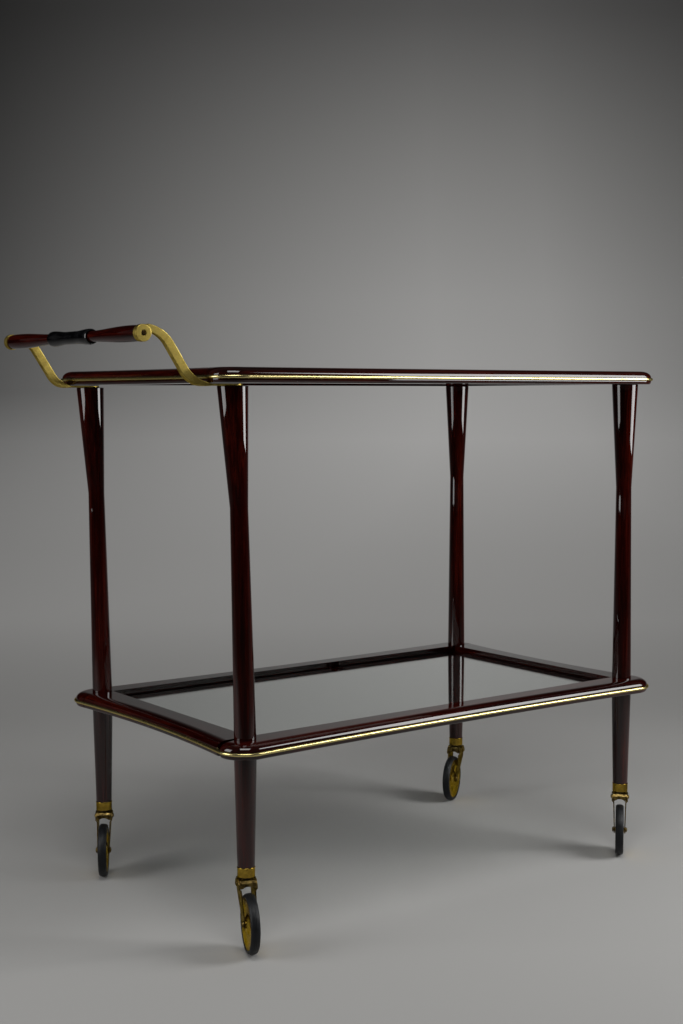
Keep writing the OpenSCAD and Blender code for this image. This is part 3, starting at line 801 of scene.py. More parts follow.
    def build_rails(self, stations: list[Station], finishes: Finishes) -> None:
        """Builds the four rails.

        Args:
            stations: The tray's outline.
            finishes: The trolley's finishes.
        """
        joint = self.inner_y
        ring: list[Station] = []
        for here, after in zip(stations, stations[1:] + stations[:1]):
            ring.append(here)
            for level in (-joint, joint):
                if (here.nose.y - level) * (after.nose.y - level) < 0:
                    share = (level - here.nose.y) / (after.nose.y - here.nose.y)
                    inward = here.inward.lerp(after.inward, share).normalized()
                    ring.append(Station(here.nose.lerp(after.nose, share), inward))
        runs = {
            "rail_front": (lambda s: s.nose.y <= -joint + 1e-6, True),
            "rail_back": (lambda s: s.nose.y >= joint - 1e-6, True),
            "rail_handle_end": (lambda s: abs(s.nose.y) <= joint + 1e-6 and s.nose.x < 0, False),
            "rail_far_end": (lambda s: abs(s.nose.y) <= joint + 1e-6 and s.nose.x > 0, False),
        }
        for part, (belongs, lengthwise) in runs.items():
            inside = [belongs(s) for s in ring]
            first = next(i for i in range(len(ring)) if inside[i] and not inside[i - 1])
            run = []
            while inside[first % len(ring)]:
                run.append(ring[first % len(ring)])
                first += 1
            skin = loft([self.rail_ring(s, lengthwise) for s in run], False)
            wood = finishes.mahogany[Along.X if lengthwise else Along.Y]
            item = make_object(f"{self.name}_tray_{part}", skin, wood)
            settle(item, "frame", "mahogany", f"{self.name}_{part}")

    def build_glass(self, finishes: Finishes) -> None:
        """Builds the glass panel with its polished arris.

        Args:
            finishes: The trolley's finishes.
        """
        low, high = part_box(f"{self.name}_glass")
        soft, base, top = self.glass_arris, low.z / MM, high.z / MM
        rings = []
        for inset, z in ((soft, base), (0.0, base + soft), (0.0, top - soft), (soft, top)):
            x0, x1 = low.x / MM + inset, high.x / MM - inset
            y0, y1 = low.y / MM + inset, high.y / MM - inset
            rings.append([(x0, y0, z), (x1, y0, z), (x1, y1, z), (x0, y1, z)])
        panel = make_object(f"{self.name}_tray_glass", loft(rings, False), finishes.glass, 20.0)
        settle(panel, "frame", "clear_glass", f"{self.name}_glass")


class Corner(Enum):
    """The trolley's corners: side along X, side along Y and caster angle in degrees."""

    handle_front = (-1, -1, 248.5)
    handle_back = (-1, 1, 238.6)
    far_front = (1, -1, 222.8)
    far_back = (1, 1, 212.6)

    @property
    def foot(self) -> Vector:
        """Where the foot stands in plan."""
        return Vector((self.value[0] * FOOT_X, self.value[1] * FOOT_Y))

    @property
    def head(self) -> Vector:
        """Where the spindle's top is in plan."""
        lean = Vector((-13.0, -self.value[1] * 2.0)) if self.value[0] < 0 else Vector((0.0, 0.0))
        return self.foot + lean


@dataclass
class Leg:
    """A spindle between the trays, and the foot below it with the seat for its ferrule."""

    corner: Corner
    base_d: float = 27.8
    waist_d: float = 22.4
    top_d: float = 38.2
    waist_up: float = 284.0
    waist_set: float = 3.0
    rim: float = 0.9
    foot_top_d: float = 28.4
    foot_end_d: float = 22.0
    ferrule_d: float = 22.4
    # Chamfer at the spindle's base, depth of the ferrule's seat and its seam with the foot
    base_chamfer: float = 0.25
    seat: float = 1.1
    seam: float = 0.08
    steps: int = 72

    def spindle_ring(self, up: float, run: float) -> tuple[Vector, float]:
        """Middle in plan and radius of the spindle at a height.

        Args:
            up: Height above the lower tray.
            run: The spindle's full height.

        Returns:
            The middle and the radius.
        """
        foot, head = self.corner.foot, self.corner.head
        inward = self.waist_set if self.corner.value[0] < 0 else 0.0
        waist = foot.lerp(head, self.waist_up / run) + Vector((inward, 0.0))
        if up < self.waist_up:
            share = up / self.waist_up
            return foot.lerp(waist, share), (self.base_d + (self.waist_d - self.base_d) * share) / 2
        share = (up - self.waist_up) / (run - self.waist_up)
        return waist.lerp(head, share), (self.waist_d + (self.top_d - self.waist_d) * share) / 2

    def build(self, finishes: Finishes) -> None:
        """Builds the spindle and the foot.

        Args:
            finishes: The trolley's finishes.
        """
        name = self.corner.name
        wood = finishes.mahogany[Along.Z]
        low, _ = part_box(f"spindle_{name}")
        base = low.z / MM
        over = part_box("handle_arm_front") if self.corner.value[0] < 0 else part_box("top_rail_front")
        run = over[0].z / MM - base
        levels = [0.0, self.base_chamfer] + spaced(0.0, self.waist_up, 12)[1:]
        levels += spaced(self.waist_up, run, 12)[1:-1]
        levels += [run - self.rim, run - self.rim * 0.3, run]
        rings = []
        for up in levels:
            centre, radius = self.spindle_ring(up, run)
            if up == 0.0:
                radius -= self.base_chamfer
            spare = max(0.0, up - (run - self.rim)) / self.rim
            radius -= self.rim * (1 - math.sqrt(max(0.0, 1 - spare ** 2)))
            rings.append([
                (centre.x + radius * math.cos(a), centre.y + radius * math.sin(a), base + up)
                for a in spaced(0.0, 2 * math.pi, self.steps)[:-1]
            ])
        spindle = make_object(f"turned_spindle_{name}", loft(rings, False), wood)
        settle(spindle, "frame", "mahogany", f"spindle_{name}")

        _, ferrule_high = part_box("ferrules")
        low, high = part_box(f"foot_{name}")
        neck, shoulder = self.ferrule_d / 2 - self.seat, ferrule_high.z / MM + self.seam
        profile = rounded([
            (0.0, low.z / MM, 0), (neck, low.z / MM, 0.3), (neck, shoulder, 0),
            (self.foot_end_d / 2, shoulder, 0.3), (self.foot_top_d / 2, high.z / MM, 0.3),
            (0.0, high.z / MM, 0),
        ])
        skin = turned(profile, upright(*self.corner.foot), self.steps)
        foot = make_object(f"turned_foot_{name}", skin, wood)
        settle(foot, "frame", "mahogany", f"foot_{name}")


@dataclass
class Ferrules:
    """The four brass ferrules on the feet."""

    wall: float = 1.0
    lip: float = 0.3
    inner_r: float = 4.3
    floor_th: float = 1.2

    def build(self, finishes: Finishes) -> None:
        """Builds the ferrules as one piece.

        Args:
            finishes: The trolley's finishes.
        """
        low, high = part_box("ferrules")
        z0, z1 = low.z / MM, high.z / MM
        outer = high.x / MM - FOOT_X - self.lip
        floor, inner = z0 + self.floor_th, self.inner_r
        profile = rounded([
            (inner, floor, 0), (inner, z0, 0.2), (outer, z0, 0.8), (outer, z1 - 1.9, 0.2),
            (outer + self.lip, z1 - 1.4, 0.3), (outer + self.lip, z1 - 0.4, 0.3),
            (outer - 0.2, z1, 0.2), (outer - self.wall, z1, 0.1), (outer - self.wall, floor, 0),
            (inner, floor, 0),
        ], 4)[:-1]
        skin = joined(turned(profile, upright(*corner.foot)) for corner in Corner)
        item = make_object("foot_ferrules", skin, finishes.ferrule_brass)
        settle(item, "frame", "polished_brass", "ferrules")


@dataclass
class Handle:
    """Two swan-neck arms with round bosses, and the turned grip between them."""

    arm_w: float = 11.0
    arm_t: float = 7.4
    arm_y: float = 179.5
    arm_in: float = 6.5
    first_slope: float = 8.0
    slope: float = 57.0
    start_share: float = 0.78
    bend_top_r: float = 42.0
    bend_low_r: float = 35.0
    # Where the arm's middle line starts, from the grip's axis, and how fast it thins into the tab
    start_x: float = 6.0
    start_z: float = 6.4
    taper: float = 1.5
    tab_t: float = 3.0
    eye_d: float = 24.0
    boss_d: float = 20.4
    boss_proud: float = 0.3
    edge_r: float = 0.9
    # The screw's hole through the boss, and the sunk seat for its head
    screw_d: float = 4.3
    seat_d: float = 6.8
    seat_deep: float = 0.7
    grip_d: float = 19.8
    neck_d: float = 13.2
    swell_at: float = 0.8
    sleeve_len: float = 108.0
    sleeve_end_d: float = 19.6
    sleeve_mid_d: float = 16.0
    # Round of the sleeve's ends, and the shares of its half length where it and the swell start
    sleeve_lip: float = 1.2
    lip_at: float = 0.9
    flat_share: float = 0.25
    socket_in: float = 8.0
    cup_gap: float = 1.2
    rod_d: float = 6.0
    play: float = 0.05

    def __post_init__(self) -> None:
        """Reads the handle's place from the frame."""
        low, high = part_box("grip_rod")
        self.x = (low.x + high.x) / 2 / MM
        self.z = (low.z + high.z) / 2 / MM
        self.grip_end = high.y / MM
        self.tab_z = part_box("handle_arm_front")[0].z / MM + self.tab_t / 2
        self.leg_x = Corner.handle_front.head.x

    def path(self) -> list[tuple[Vector, float, float]]:
        """Middle line of an arm in side view: point, slope in radians and half thickness."""
        first, steep = math.radians(self.first_slope), math.radians(self.slope)
        bar, tab = self.arm_w / 2, self.tab_t / 2
        start = Vector((self.x + self.start_x, self.z + self.start_z))
        out = []
        for a, share in zip(spaced(first, steep, 30), spaced(self.start_share, 1.0, 30)):
            shift = Vector((math.sin(a) - math.sin(first), math.cos(a) - math.cos(first)))
            out.append((start + shift * self.bend_top_r, a, bar * share))
        top_end = out[-1][0]
        drop = self.bend_low_r * (1 - math.cos(steep))
        straight = (top_end.y - self.tab_z - drop) / math.sin(steep)
        low_start = top_end + Vector((math.cos(steep), -math.sin(steep))) * straight
        out += [(top_end.lerp(low_start, i / 6), steep, bar) for i in range(1, 6)]
        for a, share in zip(spaced(steep, 0.0, 30), spaced(0.0, 1.0, 30)):
            shift = Vector((math.sin(steep) - math.sin(a), math.cos(steep) - math.cos(a)))
            out.append((low_start + shift * self.bend_low_r, a, bar + (tab - bar) * share ** self.taper))
        self.neck_x, self.bend_end_x = low_start.x, out[-1][0].x
        reach = self.leg_x + self.eye_d / 2 - self.bend_end_x
        for a in spaced(0.0, math.pi / 2, 24)[1:]:
            out.append((Vector((self.bend_end_x + reach * math.sin(a), self.tab_z)), 0.0, tab))
        return out

    def flanks(self, x: float) -> tuple[float, float]:
        """Inner and outer flank of an arm at a place along it, outwards from its bar's middle."""
        eye_r, bar = self.eye_d / 2, self.arm_t / 2
        if x > self.leg_x:
            half = math.sqrt(max(0.0, eye_r ** 2 - (x - self.leg_x) ** 2))
            return self.arm_in - half, self.arm_in + half
        inner = [(self.bend_end_x, -bar), (self.leg_x, self.arm_in - eye_r)]
        outer = [(self.neck_x, bar), (self.bend_end_x, self.arm_in + self.eye_d * 0.36),
                 (self.leg_x, self.arm_in + eye_r)]
        flanks = []
        for stops in (inner, outer):
            value = stops[0][1]
            for (x0, y0), (x1, y1) in zip(stops, stops[1:]):
                if x0 < x <= x1:
                    value = y0 + (y1 - y0) * (x - x0) / (x1 - x0)
            flanks.append(value)
        return flanks[0], flanks[1]

    def arm(self, side: int) -> Shell:
        """Skin of an arm.

        Args:
            side: -1 for the front arm, 1 for the back one.

        Returns:
            Points and faces.
        """
        rings = []
        for point, slope, half in self.path():
            inner, outer = self.flanks(point.x)
            wide, middle = max((outer - inner) / 2, 0.4), (inner + outer) / 2
            soft = min(self.edge_r, half * 0.6, wide * 0.6)
            up = Vector((math.sin(slope), math.cos(slope)))
            ring = []
            for quarter, (sy, sz) in enumerate(((1, 1), (-1, 1), (-1, -1), (1, -1))):
                for k in range(5):
                    a = math.pi / 2 * (quarter + k / 4)
                    y = sy * (wide - soft) + soft * math.cos(a)
                    n = sz * (half - soft) + soft * math.sin(a)
                    ring.append((point.x + up.x * n, side * (self.arm_y + middle + y), point.y + up.y * n))
            rings.append(ring)
        return loft(rings, False)

    def boss(self, side: int) -> Shell:
        """Skin of an arm's boss, with a sunk seat for its screw.

        Args:
            side: -1 for the front arm, 1 for the back one.

        Returns:
            Points and faces.
        """
        r, top, hole, seat = self.boss_d / 2, self.arm_t + self.boss_proud, self.screw_d / 2, self.seat_d / 2
        floor = top - self.seat_deep
        profile = rounded([
            (hole, 0.0, 0), (r, 0.0, 0.3), (r, top, 0.6), (seat + 0.3, top, 0.2), (seat, floor, 0),
            (hole, floor, 0), (hole, 0.0, 0),
        ], 4)[:-1]
        spot = upright(self.x, side * (self.arm_y - self.arm_t / 2), self.z)
        return turned(profile, spot @ lying(side), 64)

    def grip_profile(self) -> list[Point2]:
        """Radius and distance along a grip half, from the sleeve to the arm."""
        run = self.grip_end - (self.sleeve_len / 2 - self.socket_in)
        neck, full, end = self.neck_d / 2, self.grip_d / 2, self.grip_d * 0.45
        out: list[Point2] = [(0.0, 0.0)]
        for k in spaced(0.0, 1.0, 60):
            if k < self.swell_at:
                r = neck + (full - neck) / 2 * (1 - math.cos(math.pi * k / self.swell_at))
            else:
                t = (k - self.swell_at) / (1 - self.swell_at)
                r = end + (full - end) * math.sqrt(max(0.0, 1 - t * t))
            out.append((r, run * k))
        return out + [(0.0, run)]

    def sleeve_profile(self) -> list[Point2]:
        """Closed section of the sleeve: radius and distance from its middle."""
        half, bore = self.sleeve_len / 2, self.neck_d / 2 + self.cup_gap
        middle, end = self.sleeve_mid_d / 2, self.sleeve_end_d / 2
        outer = []
        for along in spaced(-1.0, 1.0, 120):
            k = abs(along)
            if k < self.lip_at:
                swell = max(0.0, k - self.flat_share) / (self.lip_at - self.flat_share)
                r = middle + (end - middle) * math.sin(math.pi / 2 * swell) ** 2
            else:
                lip = (k - self.lip_at) / (1 - self.lip_at)
                r = end - self.sleeve_lip * (1 - math.sqrt(max(0.0, 1 - lip ** 2)))
            outer.append((r, half * along))
        inner, cup = self.rod_d / 2 + self.play, half - self.socket_in
        return outer + [
            (bore + 0.3, half), (bore, half - 0.3), (bore, cup), (inner, cup), (inner, -cup), (bore, -cup),
            (bore, 0.3 - half), (bore + 0.3, -half),
        ]

    def build(self, finishes: Finishes) -> None:
        """Builds the arms, grip halves and sleeve.

        Args:
            finishes: The trolley's finishes.
        """
        for side, name in ((-1, "front"), (1, "back")):
            skin = joined([self.arm(side), self.boss(side)])
            arm = make_object(f"swan_neck_arm_{name}", skin, finishes.arm_brass)
            settle(arm, "frame", "polished_brass", f"handle_arm_{name}")
            spot = upright(self.x, side * (self.sleeve_len / 2 - self.socket_in), self.z)
            skin = turned(self.grip_profile(), spot @ lying(side), 64)
            half = make_object(f"turned_grip_{name}", skin, finishes.mahogany[Along.Y])
            settle(half, "frame", "mahogany", f"grip_half_{name}")
        skin = turned(self.sleeve_profile(), upright(self.x, 0.0, self.z) @ lying(-1), 64)
        sleeve = make_object("resin_sleeve", skin, finishes.resin)
        settle(sleeve, "frame", "black_sleeve", "grip_sleeve")


@dataclass
class Caster:
    """A swivel caster: crown block, fork plates, rivets, axle, wheel and tyre."""

    corner: Corner
    wheel_d: float = 74.0
    tyre_w: float = 12.0
    disc_d: float = 63.0
    trail: float = 24.0
    axle_d: float = 6.0
    axle_l: float = 17.4
    crown_w: float = 21.0
    crown_l: float = 26.0
    crown_th: float = 9.6
    crown_top: float = 87.0
    arch_rise: float = 2.5
    arch_half: float = 6.5
    plate_t: float = 1.5
    plate_gap: float = 0.9
    joggle: float = 2.3
    joggle_h: float = 3.0
    eye_wall: float = 2.6
    axle_z: float = 37.0
    rivet_up: float = 3.4
    rivet_d: float = 6.4
    rivet_h: float = 1.8
    pin_head_d: float = 8.4
    pin_head_h: float = 2.6
    pin_gap: float = 0.12
    hub_r: float = 5.0
    # How deep the discs' rims and their dish lie, and how thick a disc is
    rim_in: float = 1.8
    dish: float = 2.4
    disc_t: float = 1.0
    disc_soft: float = 1.6
    # The tyre's root, and the fine grooves around its tread
    root: float = 3.8
    groove: float = 0.18
    play: float = 0.05

    def place(self, u: float = 0.0, v: float = 0.0, z: float = 0.0) -> Matrix:
        """Placement in the caster's own frame: u trails, v is along the axle, z is up."""
        turn = Matrix.Rotation(math.radians(self.corner.value[2]), 4, "Z")
        return upright(*self.corner.foot) @ turn @ Matrix.Translation((u, v, z))

    def on_axle(self) -> Matrix:
        """Placement of a piece that is turned about the axle."""
        return self.place(self.trail, 0.0, self.axle_z) @ lying(-1)

    def crown(self) -> Shell:
        """Skin of the crown block: a bevelled block with an arch through its underside."""
        low, high = self.crown_top - self.crown_th, self.crown_top
        half_w, half_l, foot = self.crown_w / 2, self.crown_l / 2, self.arch_half + 0.6
        arch_r = (self.arch_half ** 2 + self.arch_rise ** 2) / (2 * self.arch_rise)
        spread = math.asin(self.arch_half / arch_r)
        arch = [
            (arch_r * math.sin(a), low + self.arch_rise - arch_r * (1 - math.cos(a)))
            for a in spaced(-spread, spread, 12)
        ]
        bevel = ((half_l, high - 3), (half_l - 2, high - 0.2), (half_l - 2.6, high))
        rings = []
        underside = [(-half_w, low), (-foot, low), *arch, (foot, low), (half_w, low)]
        for u, top in [(-u, top) for u, top in bevel] + list(reversed(bevel)):
            ring = underside + [(half_w, top), (-half_w, top)]
            rings.append([tuple(self.place() @ Vector((u, v, z))) for v, z in ring])
        return loft(rings, False)

    def plate_v(self, z: float) -> float:
        """Distance of a fork plate's inner face from the wheel's middle plane at a height."""
        low = self.crown_top - self.crown_th
        top, waist = self.crown_w / 2, self.crown_w / 2 - self.joggle
        bend = low - self.joggle_h
        if z >= low:
            return top
        if z >= bend:
            t = (low - z) / self.joggle_h
            return top + (waist - top) * (3 - 2 * t) * t * t
        t = min(1.0, (bend - z) / (bend - self.axle_z))
        return waist + (self.tyre_w / 2 + self.plate_gap - waist) * t

    def plate(self, side: int) -> Shell:
        """Skin of a fork plate: a strap from the crown's ear to the axle's eye.

        Args:
            side: -1 or 1 along the axle.

        Returns:
            Points and faces.
        """
        ear_r, eye_r = self.crown_l / 2, self.axle_d / 2 + self.eye_wall
        ear = Vector((0.0, self.crown_top + 1 - ear_r))
        eye = Vector((self.trail, self.axle_z))
        run = eye - ear
        along = math.atan2(run.y, run.x)
        spread = math.acos((ear_r - eye_r) / run.length)
        arcs = (
            (ear, ear_r, spaced(along + spread, along + 2 * math.pi - spread, 40)),
            (eye, eye_r, spaced(along - spread, along + spread, 30)),
        )
        line = [hub + r * Vector((math.cos(a), math.sin(a))) for hub, r, turns in arcs for a in turns]
        body = bmesh.new()
        for face_v in (0.0, self.plate_t):
            body.faces.new([body.verts.new((p.x, face_v, p.y)) for p in line])
        rim = len(line)
        body.verts.ensure_lookup_table()
        for i in range(rim):
            k = (i + 1) % rim
            body.faces.new([body.verts[j] for j in (i, k, rim + k, rim + i)])
        bmesh.ops.bevel(
            body,
            geom=[e for e in body.edges if abs(e.verts[0].co.y - e.verts[1].co.y) < 1e-6],
            offset=0.3,
            segments=2,
            affect="EDGES",
        )
        low = self.crown_top - self.crown_th
        for level in spaced(low, low - self.joggle_h, 6):
            geometry = list(body.verts) + list(body.edges) + list(body.faces)
            bmesh.ops.bisect_plane(body, geom=geometry, plane_co=(0, 0, level), plane_no=(0, 0, 1))
        place = self.place()
        body.verts.index_update()
        points = []
        for u, v, z in (vert.co for vert in body.verts):
            points.append(tuple(place @ Vector((u, side * (v + self.plate_v(z)), z))))
        faces = [tuple(v.index for v in f.verts) for f in body.faces]
        body.free()
        return points, faces

    def heads(self, width: float, height: float, reach: float, u: float, z: float) -> list[Shell]:
        """Two opposite hammered heads.

        Args:
            width: A head's diameter.
            height: A head's height.
            reach: Distance of what it holds from the wheel's middle plane.
            u: Place along the trail.
            z: Height above the floor.

        Returns:
            Their skins.
        """
        dome = [(0.0, 0.0)] + [
            (width / 2 * math.cos(a), height * (0.15 + 0.85 * math.sin(a)))
            for a in spaced(0.0, math.pi / 2, 12)
        ]
        return [turned(dome, self.place(u, side * reach, z) @ lying(side), 32) for side in (-1, 1)]

    def wheel(self) -> Shell:
        """Skin of the wheel: hub, and two dished discs with rolled rims."""
        half, disc_r, rim = self.tyre_w / 2 + 0.5, self.disc_d / 2, self.tyre_w / 2 - self.rim_in
        bore, hub_r, dish = self.axle_d / 2 + self.play, self.hub_r, self.dish
        hub = rounded([
            (bore, -half, 0), (hub_r, -half, 0.5), (hub_r, half, 0.5), (bore, half, 0), (bore, -half, 0),
        ])[:-1]
        inner = [
            (hub_r, half - 1.5), (hub_r + 3.2, half - 1.5), (hub_r + 8, dish), (disc_r - 9, dish),
            (disc_r - 4, rim), (disc_r, rim),
        ]
        outer = [(r, z + self.disc_t) for r, z in inner]
        inside, outside = ([(*p, self.disc_soft) for p in face[1:-1]] for face in (inner, outer))
        rolled = [(*inner[-1], 0.1), (*outer[-1], 0.5)]
        section = rounded(
            [(*inner[0], 0)] + inside + rolled + outside[::-1] + [(*outer[0], 0), (*inner[0], 0)], 6
        )[:-1]
        place = self.on_axle()
        discs = [turned([(r, side * z) for r, z in section], place, 96) for side in (-1, 1)]
        return joined([turned(hub, place, 48)] + discs)

    def tyre(self) -> Shell:
        """Skin of the tyre: a rounded tread with fine moulded lines around it."""
        half, rim = self.tyre_w / 2, self.tyre_w / 2 - self.rim_in
        seat, shoulder = self.disc_d / 2 + 0.1, self.disc_d / 2 + 1.2
        web, cheek, bore = rim - self.play, rim + 1.0, self.disc_d / 2 - self.root
        section = [(bore, -web), (seat, -web), (seat, -cheek)]
        for i, a in enumerate(spaced(-math.pi / 2, math.pi / 2, 48)):
            groove = self.groove if i in range(12, 37, 6) else 0.0
            r = shoulder + (self.wheel_d / 2 - shoulder) * math.cos(a) ** 0.8 - groove
            section.append((r, half * math.sin(a)))
        section += [(seat, cheek), (seat, web), (bore, web)]
        return turned(section, self.on_axle(), 120)

    def build(self, finishes: Finishes) -> None:
        """Builds the caster.

        Args:
            finishes: The trolley's finishes.
        """
        name, end, pin_r = self.corner.name, self.axle_l / 2, self.axle_d / 2
        ear = self.crown_w / 2 + self.plate_t
        eye = self.tyre_w / 2 + self.plate_gap + self.plate_t + self.pin_gap
        rivet_z = self.crown_top - self.crown_th + self.rivet_up
        rivets = self.heads(self.rivet_d, self.rivet_h, ear, 0.0, rivet_z)
        pin_heads = self.heads(self.pin_head_d, self.pin_head_h, eye, self.trail, self.axle_z)
        pin = turned([(0, -end), (pin_r, -end), (pin_r, end), (0, end)], self.on_axle(), 32)
        fork_pieces = (
            ("crown_block", "crown", self.crown()),
            ("fork_plates", "fork", joined([self.plate(-1), self.plate(1)])),
            ("crown_rivets", "rivets", joined(rivets)),
            ("axle_pin", "axle", joined(pin_heads + [pin])),
        )
        for title, node, skin in fork_pieces:
            item = make_object(f"{title}_{name}", skin, finishes.fork_brass)
            settle(item, f"fork_body_{name}", "aged_brass", f"{node}_{name}")
        discs = make_object(f"wheel_discs_{name}", self.wheel(), finishes.wheel_brass)
        settle(discs, f"wheel_body_{name}", "polished_brass", f"wheel_{name}")
        tyre = make_object(f"moulded_tyre_{name}", self.tyre(), finishes.rubber)
        settle(tyre, f"wheel_body_{name}", "tyre_rubber", f"tyre_{name}")


@dataclass
class HiddenFittings:
    """CAD nodes that stay as they are and only get their finish."""

    steel: tuple[str, ...] = ("leg_studs", "stem_sockets", "grip_rod")
    brass: tuple[str, ...] = ("grip_screws",)

    def dress(self, finishes: Finishes) -> None:
        """Gives each CAD node that stays its finish.

        Args:
            finishes: The trolley's finishes.
        """
        dressed = (
            (self.steel, finishes.steel),
            ([f"stem_{corner.name}" for corner in Corner], finishes.dark_steel),
            (self.brass, finishes.screw_brass),
        )
        for names, material in dressed:
            for name in names:
                node = frame["nodes"][name]
                for slot in node.material_slots:
                    slot.material = material
                LOG.info("%s: finish only", name)


def straight_ray(tree: NodeTree) -> Socket:
    """Gives 1 to what is seen straight or through glass, and 0 to light and mirror images."""
    rays = add_node(tree, "LightPath").outputs
    return compute("MAXIMUM", rays["Is Camera Ray"], rays["Is Transmission Ray"])


def show_blend(output: Node, share: Socket, first: Node, second: Node) -> None:
    """Puts a blend of two shaders on an output node, with a share of the second one."""
    inputs = {0: share, 1: first.outputs[0], 2: second.outputs[0]}
    fill(output, {"Surface": add_node(output.id_data, "MixShader", inputs).outputs[0]})


@dataclass
class Studio:
    """Floor, backdrop, soft lamps and the camera."""

    lens_mm: float = 52.575
    sensor_mm: float = 36.0
    eye: Point3 = (-1.31665, -1.71556, 0.68167)
    forward: Point3 = (0.5932073, 0.8013457, -0.0771382)
    right: Point3 = (0.8036382, -0.5951142, -0.0021798)
    paper: str = "#a3a2a0"
    pool_middle: float = 0.5
    fibre_mm: float = 2.5

    def build_camera(self) -> None:
        """Puts the camera where the photograph was taken from."""
        data = bpy.data.cameras.new("photograph")
        data.sensor_fit = "VERTICAL"
        data.sensor_height = self.sensor_mm
        data.lens = self.lens_mm
        camera = bpy.data.objects.new("photograph", data)
        right, forward = Vector(self.right), Vector(self.forward)
        turn = Matrix((right, right.cross(forward), -forward)).transposed().to_4x4()
        camera.matrix_world = Matrix.Translation(self.eye) @ turn
        bpy.context.scene.collection.objects.link(camera)
        bpy.context.scene.camera = camera

    def paper_material(self, across: Vector, back: Vector) -> Material:
        """Matt grey background paper, with painted light and shade that lighten it above the floor and darken
        it towards its top, its sides and its near end.

        Args:
            across: Level direction along the backdrop.
            back: Level direction from the camera to the backdrop.

        Returns:
            The material.
        """
        material, shader, place = new_material("background_paper")
        tree = material.node_tree
        height = add_node(tree, "SeparateXYZ", {"Vector": place}).outputs[2]
        along, depth = (
            add_node(tree, "VectorMath", {0: place, 1: (*way, 0.0)}, operation="DOT_PRODUCT").outputs["Value"]
            for way in (across, back)
        )
        # Painted light and shade: the paper's colour follows its height, lighter in a band above the floor
        # and darker towards the top, in place of how the lamps' light falls off
        tone = ramp(remap(height, 0.0, 3.0), [
            (0.0, self.paper), (0.03, "#bcbbb9"), (0.08, "#c8c7c5"), (0.18, "#e5e4e2"),
            (0.34, "#dad9d7"), (0.54, "#b7b6b4"), (0.73, "#878685"), (1.0, "#4c4c4b"),
        ])
        # Painted shade: the paper darkens sideways away from the middle of a pool of light, and more so the
        # higher it is
        away = compute("ABSOLUTE", compute("SUBTRACT", along, self.pool_middle))
        lifted = compute("MULTIPLY", away, remap(height, 0.0, 0.7))
        shade = mix(remap(lifted, 0.2, 2.4), tone, "#1e1e1e")
        # Painted shade: towards the camera the paper turns dark grey, which the glossy pieces mirror as a
        # dark room
        near = mix(remap(depth, -1.5, -0.75, 1.0, 0.0), shade, "#3e3d3c")
        fibre = noise(place, self.fibre_mm, 3.0)
        fill(shader, {
            "Base Color": mix(remap(fibre, 0.3, 0.7, 0.0, 0.03), near, "#8f8f8b"),
            "Roughness": 0.9,
            "Specular IOR Level": 0.1,
        })
        # Beyond the photo's frame the paper goes over into the room without a horizon
        beyond = compute("MAXIMUM", remap(depth, -1.3, -0.62, 1.0, 0.0), remap(away, 2.0, 3.5))
        seen = compute("MULTIPLY", beyond, straight_ray(tree))
        pale = add_node(tree, "Emission", {"Color": self.paper})
        show_blend(tree.nodes["Material Output"], seen, shader, pale)
        return material

    def build_sweep(self) -> None:
        """Builds the floor and the backdrop as one bent sheet."""
        back = Vector(self.forward[:2]).normalized()
        across = Vector((back.y, -back.x))
        near, far, bend, top, half = -8.0, 1.0, 3.0, 5.0, 8.0
        line = [(near, 0.0), (far, 0.0)]
        line += [
            (far + bend * math.sin(a), bend * (1 - math.cos(a))) for a in spaced(0.0, math.pi / 2, 48)[1:]
        ]
        line.append((far + bend, top))
        points = []
        for d, z in line:
            for side in (-half, half):
                spot = back * d + across * side
                points.append((spot.x / MM, spot.y / MM, z / MM))
        faces = [(2 * i, 2 * i + 1, 2 * i + 3, 2 * i + 2) for i in range(len(line) - 1)]
        sweep = make_object("background_sweep", (points, faces), self.paper_material(across, back))

    def add_lamp(self, name: str, place: Point3, aim: Point3, size: Point2, watts: float) -> MeshObject:
        """Adds a soft box.

        Args:
            name: The lamp's name.
            place: Its middle, in metres.
            aim: The point that it faces, in metres.
            size: Width and height in metres.
            watts: Power.

        Returns:
            The lamp.
        """
        data = bpy.data.lights.new(name, "AREA")
        data.shape = "RECTANGLE"
        data.size, data.size_y = size
        data.energy = watts
        lamp = bpy.data.objects.new(name, data)
        lamp.location = place
        lamp.rotation_euler = (Vector(aim) - Vector(place)).to_track_quat("-Z", "Y").to_euler()
        bpy.context.scene.collection.objects.link(lamp)
        return lamp

    def keep_off(self, lamp: MeshObject, pieces: Sequence[MeshObject]) -> None:
        """Keeps a lamp's light and mirror image off some pieces, as a flag does in a studio.

        Args:
            lamp: The lamp.
            pieces: The pieces it doesn't reach.
        """
        spared = bpy.data.collections.new(f"{lamp.name}_flag")
        for piece in pieces:
            spared.objects.link(piece)
        for member in spared.collection_objects:
            member.light_linking.link_state = "EXCLUDE"
        lamp.light_linking.receiver_collection = spared

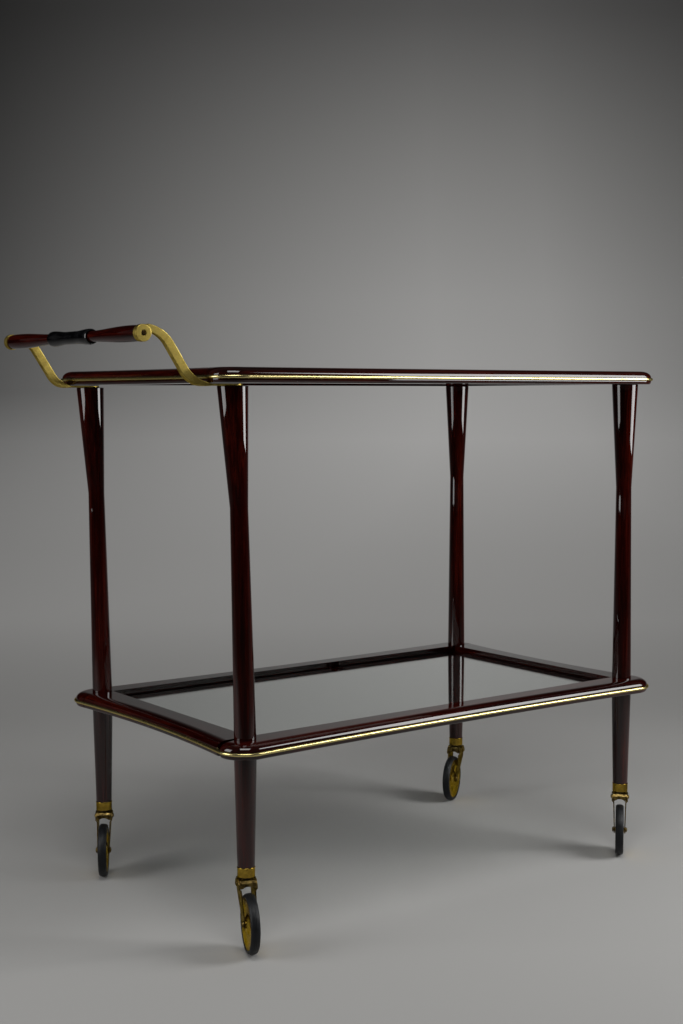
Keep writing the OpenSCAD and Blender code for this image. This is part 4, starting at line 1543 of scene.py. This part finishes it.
    def build(self) -> list[MeshObject]:
        """Builds the whole studio.

        Returns:
            The two soft boxes that stand beside the trolley.
        """
        scene = bpy.context.scene
        scene.view_settings.view_transform = "Standard"
        world = bpy.data.worlds.new("studio_room")
        world.use_nodes = True
        tree = world.node_tree
        dim = tree.nodes["Background"]
        fill(dim, {"Color": "#8a8a8a", "Strength": 0.15})
        pale = add_node(tree, "Background", {"Color": self.paper})
        show_blend(tree.nodes["World Output"], straight_ray(tree), dim, pale)
        scene.world = world
        self.build_camera()
        self.build_sweep()
        right_box = self.add_lamp("right_soft_box", (1.05, -1.05, 1.13), (0.0, 0.0, 1.13), (0.7, 1.3), 26.0)
        left_box = self.add_lamp("left_soft_box", (-2.0, 0.42, 1.02), (0.0, 0.0, 1.02), (1.0, 1.3), 18.0)
        self.add_lamp("top_soft_box", (-0.85, -1.15, 3.0), (0.0, 0.0, 0.3), (1.6, 1.2), 36.0)
        # It stands behind the trolley and faces away from it, so it lights the paper alone
        self.add_lamp("backdrop_lamp", (1.0, 1.34, 2.6), (2.4, 3.2, 0.9), (2.4, 0.6), 9.0)
        return [right_box, left_box]


@dataclass
class Trolley:
    """The whole trolley."""

    trays: list[Tray] = field(default_factory=lambda: [Tray("lower"), Tray("top")])

    def build(self, finishes: Finishes) -> None:
        """Builds every sub-assembly in order.

        Args:
            finishes: The trolley's finishes.
        """
        for tray in self.trays:
            tray.build(finishes)
        for corner in Corner:
            Leg(corner).build(finishes)
        Ferrules().build(finishes)
        Handle().build(finishes)
        for corner in Corner:
            Caster(corner).build(finishes)
        HiddenFittings().dress(finishes)


def main() -> None:
    """Builds the studio and the trolley."""
    logging.basicConfig(level=logging.INFO, format="%(message)s")
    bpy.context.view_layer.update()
    studio = Studio()
    side_lamps = studio.build()
    Trolley().build(Finishes())
    pieces = bpy.data.objects
    panes = [piece for piece in pieces if "_glass" in piece.name]
    # The front rails keep the right lamp, which draws the thin white line over their bead
    rails = [piece for piece in pieces if "_rail" in piece.name and "front" not in piece.name]
    for lamp, spared in zip(side_lamps, (panes + rails, panes)):
        studio.keep_off(lamp, spared)


if __name__ == "__main__":
    main()
